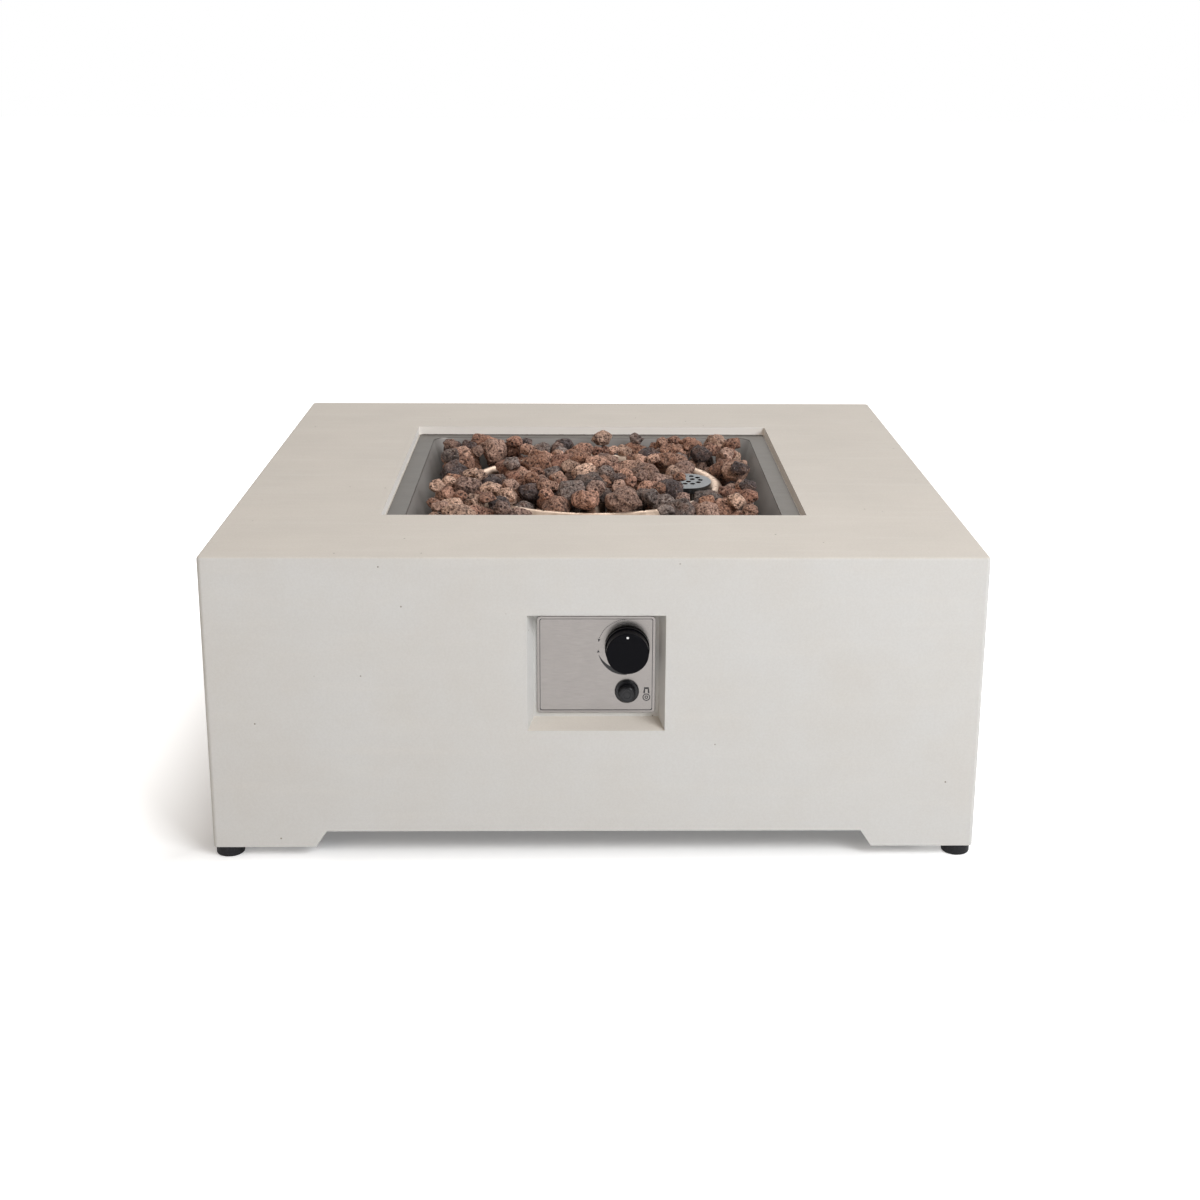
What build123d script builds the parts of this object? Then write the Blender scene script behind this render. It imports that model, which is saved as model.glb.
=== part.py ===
"""Square gas fire table, in millimetres.

A moulded casing stands on four levelling feet. A steel pan hangs in its top opening and holds a ring
burner buried in lava rock. A recess in the front wall carries the control plate, with the gas knob and
the igniter button. The origin is on the ground below the middle of the casing, the controls face -Y,
and +Z is up.
"""

import os
from math import atan2, cos, degrees, hypot, pi, radians, sin, sqrt, tan
from random import Random

import numpy as np
from build123d import *

os.makedirs("parts", exist_ok=True)

# ---- Driving dimensions ------------------------------------------------------------------------

# Fits shared by several pieces
close_fit = 0.05
free_fit = 0.3

# Casing
casing_side = 813.0
casing_height = 322.0
casing_corner_radius = 5.0
casing_top_radius = 3.0
wall = 15.0
deck = 24.0
cavity_corner_radius = 12.0

# Base notches, one in each side
notch_height = 18.0
notch_top_half = 285.0
notch_bottom_half = 297.0

# Top opening and the burner pan that hangs in it
opening_side = 474.0
flange_gap = 2.0
flange_drop = 10.0
flange_width = 20.0
flange_corner_radius = 6.0
ledge_width = 13.0
pan_sheet = 1.2
pan_depth = 52.0
pan_slope_run = 14.0
pan_corner_radius = 20.0
pan_drain_radius = 4.0
pan_drain_circle = 180.0
pan_drains = 8

# Ring burner
ring_radius = 153.0
ring_tube_radius = 9.5
ring_wall = 1.5
ring_drop = 10.0
crossbar_radius = 7.5
hub_radius = 16.0
spigot_radius = 10.5
spigot_length = 30.0
spigot_bore = 7.0
port_radius = 1.6
ports = 24
burner_nut_flats = 32.0
burner_nut_height = 7.0

# Air mixer and gas injector under the pan
mixer_gap = 1.0
mixer_coupler_radius = 15.0
mixer_coupler_length = 22.0
mixer_body_radius = 12.0
mixer_body_length = 35.0
mixer_bore = 9.0
mixer_foot_radius = 14.0
mixer_foot_length = 13.0
window_width = 8.0
window_height = 18.0
windows = 4
injector_radius = 5.0
injector_reach = 10.0
injector_flats = 19.0
injector_height = 18.0
orifice_radius = 0.8
flare_radius = 7.94
flare_bore = 4.0
flare_length = 14.0

# Gas line
line_radius = 4.75
line_nut_flats = 17.0
injector_nut_flats = 21.0
line_nut_length = 16.0
line_outlet_run = 58.0
line_inlet_run = 52.0

# Bends of the gas line: X from its start, Y and depth under the knob; then X, Y and rise over the injector
line_bends = ((-98.0, -288.0, 12.5), (-84.0, -200.0, 36.5))
line_turn = (-42.0, -126.0, 3.0)

# Control recess and plate
recess_x = 1.5
recess_z = 208.0
recess_width = 144.0
recess_height = 127.0
recess_depth = 26.5
recess_draft = 6.0
recess_floor = 12.0
recess_surround = 12.0
cutout_width = 104.0
cutout_height = 92.0
plate_width = 124.0
plate_height = 107.0
plate_rise = 1.0
plate_sheet = 1.2
plate_corner_radius = 4.0
plate_rim = 2.4
plate_rim_depth = 0.5
stud_radius = 2.0
stud_inset = 5.0
stud_length = 18.0
stud_hole_clearance = 0.4
panel_nut_flats = 7.0
panel_nut_height = 4.0

# Gas knob, valve and spindle
knob_x = 34.0
knob_rise = 19.5
knob_radius = 22.15
knob_skirt_radius = 23.4
knob_skirt_length = 3.0
knob_length = 18.5
knob_edge = 1.0
knob_wall = 2.4
knob_face = 3.0
knob_hub_radius = 6.0
knob_hub_gap = 4.0
knob_dot_radius = 1.5
knob_dot_inset = 4.6
knob_dot_depth = 0.5
knob_push = 3.5
knob_clearance = 0.8
spindle_radius = 3.0
spindle_flat = 2.0
spindle_end_gap = 2.0
collar_radius = 5.2
collar_length = 1.0
collar_gap = 1.2
boss_front = 3.0
valve_boss_radius = 8.5
valve_flange_width = 36.0
valve_flange_height = 22.0
valve_flange_length = 4.0
valve_width = 34.0
valve_height = 30.0
valve_length = 45.0
valve_port_back = 27.9
spring_seat_radius = 5.6
spring_seat_depth = 9.0
valve_throat = 4.0
plug_radius = 7.0
plug_length = 26.0
plug_fit = 0.05
plug_socket_depth = 20.0
valve_screw_pitch = 26.0
valve_screw_radius = 2.0
valve_screw_head_radius = 3.5
valve_screw_head = 2.0
valve_screw_length = 10.0
magnet_radius = 8.0
magnet_length = 30.0
magnet_nut_flats = 10.0
magnet_nut_length = 10.0
inlet_elbow_reach = 11.0
inlet_elbow_radius = 9.0
inlet_drop = 32.0
inlet_bore = 3.2

# Springs
knob_spring_mean = 4.5
knob_spring_wire = 0.4
knob_spring_turns = 5
button_spring_mean = 7.0
button_spring_wire = 0.4
button_spring_turns = 5
spring_end_gap = 0.1

# Igniter
igniter_drop = 29.5
igniter_flange_radius = 12.8
igniter_flange = 3.0
igniter_barrel_radius = 11.0
igniter_bore = 9.0
igniter_bore_depth = 14.2
igniter_back = 5.0
igniter_nut_radius = 14.5
igniter_nut_height = 6.0
igniter_nut_notches = 8
button_radius = 8.65
button_reach = 14.0
button_length = 18.5
button_wall = 1.0
button_face = 4.0
button_push = 4.0
button_ribs = 16
rib_radius = 0.45
battery_radius = 5.25
battery_length = 43.5
battery_fit = 0.35
battery_tip_radius = 1.9
battery_tip = 1.0
battery_contact = 0.5
terminal_length = 8.0
terminal_width = 4.8
terminal_sheet = 0.8

# Levelling feet
foot_height = 12.0
foot_pad_radius = 15.0
foot_pad_edge = 2.0
foot_inset = 15.5
foot_gap = 0.3
foot_stud_radius = 4.0
foot_stud_reach = 22.0
foot_head_radius = 6.5
foot_head_height = 4.0
foot_head_floor = 3.3
insert_radius = 7.0
insert_length = 26.0
insert_fit = 0.05
corner_block_side = 52.0
corner_block_height = 60.0

# Rock guard over the thermocouple and the spark electrode
guard_centre_y = -17.0
guard_ring_gap = 7.0
guard_radius = 28.0
guard_straight = 14.0
guard_sheet = 1.2
guard_lip = 7.0
guard_height = 43.8
guard_tilt = 5.5
guard_hole_radius = 3.2
guard_hole_circle = 15.0
guard_hole_shift = 4.0
guard_holes = 10
guard_inner_circle = 6.0
guard_inner_holes = 3
guard_foot = 16.0
guard_leg_width = 30.0
bracket_sheet = 1.5
bracket_width = 44.0
clamp_radius = 5.5
clamp_height = 12.0
sensor_inset = 24.0
probe_y = -28.0
probe_radius = 3.0
probe_height = 35.8
probe_tail = 12.0
electrode_y = -6.0
electrode_radius = 3.5
electrode_height = 26.8
electrode_tail = 14.0
electrode_wire = 1.1
electrode_rise = 8.0
electrode_reach = 9.0
sensor_hole_gap = 1.0
sensor_screw_radius = 2.0
sensor_screw_head_radius = 3.5
sensor_screw_tail = 1.0
sensor_screw_pitch = 30.0
sensor_nut_flats = 7.0
sensor_nut_height = 3.2
lead_radius = 1.5

# The leads run straight back first, hang at this depth under the pan, and turn up to their sensors.
# Bends are X, Y and rise over the hanging height; turns are X and Y from the sensor, and that rise.
lead_hang = 64.0
thermocouple_run = 42.0
thermocouple_bends = ((46.0, -200.0, 12.0), (66.0, -154.0, 4.0), (88.0, -110.0, 0.0), (108.0, -68.0, 1.0))
thermocouple_turns = ((-1.0, -8.0, 14.0), (0.0, 0.0, 35.0))
ignition_run = 45.0
ignition_bends = ((44.0, -216.0, -22.0), (62.0, -166.0, -14.0), (84.0, -118.0, -10.0), (104.0, -72.0, -10.0))
ignition_turns = ((-4.0, -26.0, -3.0), (0.0, 0.0, 20.0))

# Share of a run that each bend at its ends may take
bend_share = 0.45

# Lava rocks: a bed, a filling over it, the heap in view, and chips in its gaps
rock_growth = 0.02
rock_fit = 0.3
same_height = 1e-6
rock_tries = 7
drop_start = 60.0
bed_corners = 8
bed_pitch = 31.0
bed_size = (28.0, 36.0)
bed_height = 33.0
fill_pitch = 32.0
fill_size = (28.0, 38.0)
fill_height = 46.0
heap_corners = 12
heap_pitch = 35.0
heap_size = (34.0, 52.0)
heap_height = 66.0
chip_corners = 10
chip_pitch = 30.0
chip_size = (22.0, 32.0)
chip_height = 68.0

# Rocks laid before the heap, as size, X and Y: two behind the ring, one on the crossbar
laid_rocks = ((32.0, 14.0, 175.0), (38.0, 14.0, 175.0), (40.0, -5.0, -119.0))
laid_wander = 4.0
laid_tries = 3

# Ring left bare of rocks, as degrees anticlockwise from +X
bare_right = (-128.0, 38.0)
bare_left = (120.0, 188.0)
bare_reach = 24.0
bare_front_half = 84.0

# ---- Levels and places worked out from them ------------------------------------------------------

base_z = foot_height
top_z = base_z + casing_height
front = casing_side / 2
cavity_side = casing_side - 2 * wall

flange_top_z = top_z - flange_drop
ledge_z = flange_top_z - pan_sheet
ledge_side = opening_side - 2 * ledge_width
flange_side = opening_side - 2 * flange_gap
pan_mouth_side = flange_side - 2 * flange_width
pan_floor_side = pan_mouth_side - 2 * pan_slope_run
pan_under_z = flange_top_z - pan_depth
pan_floor_z = pan_under_z + pan_sheet

ring_z = flange_top_z - ring_drop - ring_tube_radius
spigot_low_z = pan_floor_z - spigot_length
mixer_top_z = pan_under_z - burner_nut_height - mixer_gap
mixer_body_top_z = mixer_top_z - mixer_coupler_length
mixer_foot_top_z = mixer_body_top_z - mixer_body_length
mixer_low_z = mixer_foot_top_z - mixer_foot_length
injector_z = mixer_low_z - injector_height / 2

plate_z = recess_z + plate_rise
knob_z = plate_z + knob_rise
igniter_z = plate_z - igniter_drop

# Depths along Y are counted from the middle of the casing towards the front
plate_back = front - recess_depth
plate_front = plate_back + plate_sheet
recess_back = plate_back - recess_floor

# Along the spindle
knob_back = plate_front + knob_push + knob_clearance
knob_front = knob_back + knob_length
boss_tip = plate_back + boss_front
hub_back = boss_tip + knob_push + knob_hub_gap - knob_clearance
collar_back = hub_back - collar_gap - collar_length
spring_seat = boss_tip - spring_seat_depth
plug_front = spring_seat - valve_throat
plug_back = plug_front - plug_length
valve_back = plate_back - valve_length
spindle_back = plug_front - plug_socket_depth + knob_push + spindle_end_gap
port_depth = plate_back - valve_port_back

# Along the igniter
igniter_front = plate_front + igniter_flange
igniter_step = igniter_front - igniter_bore_depth
battery_front = igniter_step - battery_contact
igniter_end = battery_front - battery_length - battery_tip - igniter_back
button_front = plate_front + button_reach
button_back = button_front - button_length

foot_pitch = casing_side - 2 * foot_inset
guard_nose_x = ring_radius - guard_ring_gap
guard_low_z = pan_floor_z + guard_height
guard_centre_x = guard_nose_x - guard_radius
guard_back_x = guard_centre_x - guard_straight
sensor_x = guard_nose_x - sensor_inset
probe_top_z = pan_floor_z + probe_height
electrode_top_z = pan_floor_z + electrode_height


# ---- Helpers -------------------------------------------------------------------------------------


def save(builder, name):
    """Label a finished piece and write it to its own file."""
    builder.part.label = name
    export_step(builder.part, f"parts/{name}.step")


def facing_front(depth):
    """The upright plane at this distance in front of the middle, looking out of the front."""
    return Plane.XZ.offset(depth)


def hexagon(flats):
    """Corner radius of a hexagon with this size across its flats."""
    return flats / sqrt(3)


def bend_radii(route):
    """The largest bend at each inner point of a route that leaves the runs some straight length."""
    points = [Vector(*point) for point in route]
    radii = []
    for before, here, after in zip(points, points[1:], points[2:]):
        turn = radians((here - before).get_angle(after - here))
        shorter = min((here - before).length, (after - here).length)
        radii.append(bend_share * shorter / tan(turn / 2))
    return radii


def tube_along(route, radius, name):
    """A round bar of straight runs and tangent bends along a route, with its size compared."""
    radii = bend_radii(route)
    with BuildPart() as tube:
        with BuildLine() as path:
            FilletPolyline(*route, radius=radii)
        centre_line = path.wires()[0]
        with BuildSketch(Plane(origin=centre_line @ 0, z_dir=centre_line % 0)):
            Circle(radius)
        sweep(path=centre_line)
    expected = pi * radius**2 * centre_line.length
    print(name, "length", round(centre_line.length), "bends", [round(r) for r in radii])
    print(name, "volume over section times length", round(tube.part.volume / expected, 4))
    return tube


def coil_along_y(x, z, back, length, mean_radius, wire_radius, turns):
    """A compression spring round an axis along Y, from its back end towards the front."""
    height = length - 2 * wire_radius - 2 * spring_end_gap
    start = Vector(x, -(back + wire_radius + spring_end_gap), z)
    with BuildPart() as coil:
        with BuildLine() as path:
            Helix(height / turns, height, mean_radius, center=start, direction=(0, -1, 0))
        wire = path.wires()[0]
        with BuildSketch(Plane(origin=wire @ 0, z_dir=wire % 0)):
            Circle(wire_radius)
        sweep(path=wire, is_frenet=True)
    return coil


# ---- Casing --------------------------------------------------------------------------------------

# One moulding: thin walls under a deck, closed corners for the feet, and a box round the recess
with BuildPart() as casing:
    with BuildSketch(Plane.XY.offset(base_z)):
        RectangleRounded(casing_side, casing_side, casing_corner_radius)
    extrude(amount=casing_height)
    fillet(casing.faces().sort_by(Axis.Z)[-1].edges(), casing_top_radius)
    with BuildSketch(Plane.XY.offset(base_z)):
        RectangleRounded(cavity_side, cavity_side, cavity_corner_radius)
    extrude(amount=casing_height - deck, mode=Mode.SUBTRACT)

    # Solid corners that hold the threaded inserts of the feet
    with BuildSketch(Plane.XY.offset(base_z)):
        corner_block_pitch = cavity_side + wall - corner_block_side
        with GridLocations(corner_block_pitch, corner_block_pitch, 2, 2):
            Rectangle(corner_block_side, corner_block_side)
    extrude(amount=corner_block_height)

    # Top opening, with a ledge below it for the flange of the pan
    with BuildSketch(Plane.XY.offset(ledge_z)):
        Rectangle(opening_side, opening_side)
    extrude(amount=top_z - ledge_z, mode=Mode.SUBTRACT)
    with BuildSketch(Plane.XY.offset(top_z - deck)):
        RectangleRounded(ledge_side, ledge_side, pan_corner_radius)
    extrude(amount=ledge_z - top_z + deck, mode=Mode.SUBTRACT)

    # Box behind the control recess, then the drafted recess and the cut-out in its floor
    with BuildSketch(facing_front(recess_back)):
        with Locations((recess_x, recess_z)):
            Rectangle(recess_width + 2 * recess_surround, recess_height + 2 * recess_surround)
    extrude(amount=recess_depth + recess_floor - wall / 2)
    with BuildSketch(facing_front(front)):
        with Locations((recess_x, recess_z)):
            Rectangle(recess_width, recess_height)
    with BuildSketch(facing_front(plate_back)):
        with Locations((recess_x, recess_z)):
            Rectangle(recess_width - 2 * recess_draft, recess_height - 2 * recess_draft)
    loft(mode=Mode.SUBTRACT)
    with BuildSketch(facing_front(recess_back)):
        with Locations((recess_x, plate_z)):
            Rectangle(cutout_width, cutout_height)
            with GridLocations(plate_width - 2 * stud_inset, plate_height - 2 * stud_inset, 2, 2):
                Circle(stud_radius + stud_hole_clearance)
    extrude(amount=recess_floor, mode=Mode.SUBTRACT)

    # A notch with slanted ends in the foot of every wall
    for side in (Plane.XZ, Plane.YZ):
        with BuildSketch(side):
            with BuildLine():
                Polyline(
                    (-notch_bottom_half, base_z),
                    (-notch_top_half, base_z + notch_height),
                    (notch_top_half, base_z + notch_height),
                    (notch_bottom_half, base_z),
                    close=True,
                )
            make_face()
        extrude(amount=front, both=True, mode=Mode.SUBTRACT)

    # Pockets for the threaded inserts
    with BuildSketch(Plane.XY.offset(base_z)):
        with GridLocations(foot_pitch, foot_pitch, 2, 2):
            Circle(insert_radius)
    extrude(amount=insert_length, mode=Mode.SUBTRACT)
save(casing, "casing")

# ---- Levelling feet ------------------------------------------------------------------------------

with BuildPart() as foot_inserts:
    with BuildSketch(Plane.XY.offset(base_z)):
        with GridLocations(foot_pitch, foot_pitch, 2, 2):
            Circle(insert_radius)
            Circle(foot_stud_radius + insert_fit, mode=Mode.SUBTRACT)
    extrude(amount=insert_length)
save(foot_inserts, "foot_inserts")


def foot_pad(x, y):
    """A moulded pad with a rounded lower edge and a closed socket for the head of its stud."""
    pad_top = foot_height - foot_gap
    with BuildPart() as pad:
        with BuildSketch():
            with Locations((x, y)):
                Circle(foot_pad_radius)
        extrude(amount=pad_top)
        fillet(pad.faces().sort_by(Axis.Z)[0].edges(), foot_pad_edge)
        with BuildSketch(Plane.XY.offset(foot_head_floor - free_fit)):
            with Locations((x, y)):
                Circle(foot_head_radius + free_fit)
        extrude(amount=foot_head_height + 2 * free_fit, mode=Mode.SUBTRACT)
        with BuildSketch(Plane.XY.offset(foot_head_floor)):
            with Locations((x, y)):
                Circle(foot_stud_radius + free_fit)
        extrude(amount=foot_height, mode=Mode.SUBTRACT)
    return pad


def foot_stud(x, y):
    """A screw with a round head that turns in the pad and climbs in the insert."""
    with BuildPart() as stud:
        with BuildSketch(Plane.XY.offset(foot_head_floor)):
            with Locations((x, y)):
                Circle(foot_head_radius)
        extrude(amount=foot_head_height)
        with BuildSketch(Plane.XY.offset(foot_head_floor)):
            with Locations((x, y)):
                Circle(foot_stud_radius)
        extrude(amount=base_z + foot_stud_reach - foot_head_floor)
        chamfer(stud.faces().sort_by(Axis.Z)[-1].edges(), foot_stud_radius / 5)
    return stud


foot_places = {
    "front_left": (-foot_pitch / 2, -foot_pitch / 2),
    "front_right": (foot_pitch / 2, -foot_pitch / 2),
    "back_left": (-foot_pitch / 2, foot_pitch / 2),
    "back_right": (foot_pitch / 2, foot_pitch / 2),
}
for corner, (foot_x, foot_y) in foot_places.items():
    save(foot_pad(foot_x, foot_y), f"foot_pad_{corner}")
    save(foot_stud(foot_x, foot_y), f"foot_stud_{corner}")

# ---- Burner pan ----------------------------------------------------------------------------------

with BuildPart() as burner_pan:
    with BuildSketch(Plane.XY.offset(pan_under_z)):
        RectangleRounded(pan_floor_side, pan_floor_side, pan_corner_radius)
    with BuildSketch(Plane.XY.offset(ledge_z)):
        RectangleRounded(pan_mouth_side, pan_mouth_side, pan_corner_radius)
    loft()
    with BuildSketch(Plane.XY.offset(ledge_z)):
        RectangleRounded(flange_side, flange_side, flange_corner_radius)
    extrude(amount=pan_sheet)
    inner_floor_side = pan_floor_side - 2 * pan_sheet
    inner_mouth_side = pan_mouth_side - 2 * pan_sheet
    with BuildSketch(Plane.XY.offset(pan_floor_z)):
        RectangleRounded(inner_floor_side, inner_floor_side, pan_corner_radius - pan_sheet)
    with BuildSketch(Plane.XY.offset(flange_top_z)):
        RectangleRounded(inner_mouth_side, inner_mouth_side, pan_corner_radius - pan_sheet)
    loft(mode=Mode.SUBTRACT)
    with BuildSketch(Plane.XY.offset(pan_under_z)):
        Circle(spigot_radius + close_fit)
        with PolarLocations(pan_drain_circle, pan_drains, start_angle=180 / pan_drains):
            Circle(pan_drain_radius)
        with Locations((sensor_x, probe_y)):
            Circle(probe_radius + sensor_hole_gap)
        with Locations((sensor_x, electrode_y)):
            Circle(electrode_radius + sensor_hole_gap)
        with Locations((guard_back_x - guard_foot / 2, guard_centre_y)):
            with GridLocations(1, sensor_screw_pitch, 1, 2):
                Circle(sensor_screw_radius)
    extrude(amount=pan_sheet, mode=Mode.SUBTRACT)
save(burner_pan, "burner_pan")

# ---- Ring burner ---------------------------------------------------------------------------------

def half_ring(start):
    """One bent half of the hollow ring, with gas ports on top and the inlet from the crossbar."""
    inward = -1 if start == 0 else 1
    with BuildPart() as half:
        with BuildLine():
            bend = CenterArc((0, 0, ring_z), ring_radius, start, 180)
        with BuildSketch(Plane(origin=bend @ 0, z_dir=bend % 0)):
            Circle(ring_tube_radius)
            Circle(ring_tube_radius - ring_wall, mode=Mode.SUBTRACT)
        sweep()
        with BuildSketch(Plane.XZ):
            with Locations((0, ring_z)):
                Circle(crossbar_radius - ring_wall)
        extrude(amount=inward * ring_radius, mode=Mode.SUBTRACT)
        with BuildSketch(Plane.XY.offset(ring_z)):
            with PolarLocations(ring_radius, ports // 2, start + 180 / ports, 180):
                Circle(port_radius)
        extrude(amount=2 * ring_tube_radius, mode=Mode.SUBTRACT)
    return half.part.solid()


# The two halves are butt-welded, so they stay two solids that meet face to face
ring_burner = Compound(children=[half_ring(0), half_ring(180)])
ring_burner.label = "ring_burner"
export_step(ring_burner, "parts/ring_burner.step")

# Crossbar with saddle ends that fit the ring, and a hub whose threaded spigot goes through the pan
ring_outside = Solid.make_torus(ring_radius, ring_tube_radius, Plane.XY.offset(ring_z))
with BuildPart() as burner_crossbar:
    with BuildSketch(Plane.XZ):
        with Locations((0, ring_z)):
            Circle(crossbar_radius)
    extrude(amount=ring_radius - ring_tube_radius / 2, both=True)
    with BuildSketch(Plane.XY.offset(pan_floor_z)):
        Circle(hub_radius)
    extrude(amount=ring_z + crossbar_radius - pan_floor_z)
    with BuildSketch(Plane.XY.offset(spigot_low_z)):
        Circle(spigot_radius)
    extrude(amount=spigot_length)
    with BuildSketch(Plane.XZ):
        with Locations((0, ring_z)):
            Circle(crossbar_radius - ring_wall)
    extrude(amount=ring_radius, both=True, mode=Mode.SUBTRACT)
    with BuildSketch(Plane.XY.offset(spigot_low_z)):
        Circle(spigot_bore)
    extrude(amount=ring_z - spigot_low_z, mode=Mode.SUBTRACT)
    add(ring_outside, mode=Mode.SUBTRACT)
save(burner_crossbar, "burner_crossbar")

with BuildPart() as burner_nut:
    with BuildSketch(Plane.XY.offset(pan_under_z - burner_nut_height)):
        RegularPolygon(hexagon(burner_nut_flats), 6)
        Circle(spigot_radius, mode=Mode.SUBTRACT)
    extrude(amount=burner_nut_height)
save(burner_nut, "burner_nut")

# ---- Air mixer and injector ----------------------------------------------------------------------

# A coupler, a throat with air windows, and a foot that takes the injector
with BuildPart() as air_mixer:
    with BuildSketch(Plane.XY.offset(mixer_low_z)):
        Circle(mixer_foot_radius)
    extrude(amount=mixer_foot_length)
    with BuildSketch(Plane.XY.offset(mixer_foot_top_z)):
        Circle(mixer_body_radius)
    extrude(amount=mixer_body_length)
    with BuildSketch(Plane.XY.offset(mixer_body_top_z)):
        Circle(mixer_coupler_radius)
    extrude(amount=mixer_coupler_length)
    with BuildSketch(Plane.XY.offset(mixer_low_z)):
        Circle(injector_radius)
    extrude(amount=mixer_foot_length, mode=Mode.SUBTRACT)
    with BuildSketch(Plane.XY.offset(mixer_foot_top_z)):
        Circle(mixer_bore)
    extrude(amount=mixer_body_length, mode=Mode.SUBTRACT)
    with BuildSketch(Plane.XY.offset(spigot_low_z)):
        Circle(spigot_radius)
    extrude(amount=mixer_top_z - spigot_low_z, mode=Mode.SUBTRACT)
    with BuildSketch(Plane.XY.offset(mixer_body_top_z)):
        Circle(mixer_bore)
    extrude(amount=spigot_low_z - mixer_body_top_z, mode=Mode.SUBTRACT)
    window_low_z = mixer_foot_top_z + (mixer_body_length - window_height) / 2
    with BuildSketch(Plane.XY.offset(window_low_z)):
        with PolarLocations(mixer_body_radius, windows, start_angle=180 / windows):
            Rectangle(mixer_body_radius, window_width)
    extrude(amount=window_height, mode=Mode.SUBTRACT)
save(air_mixer, "air_mixer")

# A brass elbow: a hexagon under the mixer, a drilled jet inside it, and a flare facing the front
with BuildPart() as gas_injector:
    with BuildSketch(Plane.XY.offset(mixer_low_z - injector_height)):
        RegularPolygon(hexagon(injector_flats), 6)
    extrude(amount=injector_height)
    with BuildSketch(Plane.XY.offset(mixer_low_z)):
        Circle(injector_radius)
    extrude(amount=mixer_foot_length + injector_reach)
    chamfer(gas_injector.faces().sort_by(Axis.Z)[-1].edges(), injector_radius / 2)
    with BuildSketch(Plane.XZ):
        with Locations((0, injector_z)):
            Circle(flare_radius)
    extrude(amount=injector_flats / 2 + flare_length)
    chamfer(gas_injector.faces().sort_by(Axis.Y)[0].edges(), flare_radius / 3)
    with BuildSketch(Plane.XZ):
        with Locations((0, injector_z)):
            Circle(flare_bore)
    extrude(amount=injector_flats / 2 + flare_length, mode=Mode.SUBTRACT)
    with BuildSketch(Plane.XY.offset(injector_z)):
        Circle(orifice_radius)
    extrude(amount=injector_height + mixer_foot_length + injector_reach, mode=Mode.SUBTRACT)
save(gas_injector, "gas_injector")

# ---- Gas line ------------------------------------------------------------------------------------

line_start_x = knob_x - valve_width / 2 - line_nut_length
line_end_y = -(injector_flats / 2 + flare_length + line_nut_length / 2)
gas_route = (
    (line_start_x, -port_depth, knob_z),
    (line_start_x - line_outlet_run, -port_depth, knob_z),
    *((line_start_x + x, y, knob_z - depth) for x, y, depth in line_bends),
    (line_turn[0], line_turn[1], injector_z + line_turn[2]),
    (0, line_end_y - line_inlet_run, injector_z),
    (0, line_end_y, injector_z),
)
gas_line = tube_along(gas_route, line_radius, "gas_line")
save(gas_line, "gas_line")

# A flare nut at each end of the line
with BuildPart() as line_nuts:
    with BuildSketch(Plane.YZ.offset(line_start_x)):
        with Locations((-port_depth, knob_z)):
            RegularPolygon(hexagon(line_nut_flats), 6)
    extrude(amount=line_nut_length)
    with BuildSketch(Plane.XZ.offset(-line_end_y)):
        with Locations((0, injector_z)):
            RegularPolygon(hexagon(injector_nut_flats), 6)
    extrude(amount=-line_nut_length / 2)
save(line_nuts, "line_nuts")

# ---- Control plate -------------------------------------------------------------------------------

# Pressed sheet with a raised rim, holes for the valve boss and the igniter, and four welded studs
with BuildPart() as control_plate:
    with BuildSketch(facing_front(plate_back)):
        with Locations((recess_x, plate_z)):
            RectangleRounded(plate_width, plate_height, plate_corner_radius)
    extrude(amount=plate_sheet + plate_rim_depth)
    with BuildSketch(facing_front(plate_front)):
        with Locations((recess_x, plate_z)):
            RectangleRounded(
                plate_width - 2 * plate_rim, plate_height - 2 * plate_rim, plate_corner_radius / 2
            )
    extrude(amount=plate_rim_depth, mode=Mode.SUBTRACT)
    with BuildSketch(facing_front(plate_back)):
        with Locations((knob_x, knob_z)):
            Circle(valve_boss_radius + close_fit)
            with GridLocations(valve_screw_pitch, 1, 2, 1):
                Circle(valve_screw_radius)
        with Locations((knob_x, igniter_z)):
            Circle(igniter_barrel_radius + close_fit)
    extrude(amount=plate_sheet, mode=Mode.SUBTRACT)
    with BuildSketch(facing_front(plate_back)):
        with Locations((recess_x, plate_z)):
            with GridLocations(plate_width - 2 * stud_inset, plate_height - 2 * stud_inset, 2, 2):
                Circle(stud_radius)
    extrude(amount=-stud_length)
save(control_plate, "control_plate")

with BuildPart() as panel_nuts:
    with BuildSketch(facing_front(recess_back)):
        with Locations((recess_x, plate_z)):
            with GridLocations(plate_width - 2 * stud_inset, plate_height - 2 * stud_inset, 2, 2):
                RegularPolygon(hexagon(panel_nut_flats), 6)
                Circle(stud_radius, mode=Mode.SUBTRACT)
    extrude(amount=-panel_nut_height)
save(panel_nuts, "panel_nuts")

# ---- Gas valve -----------------------------------------------------------------------------------

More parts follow.
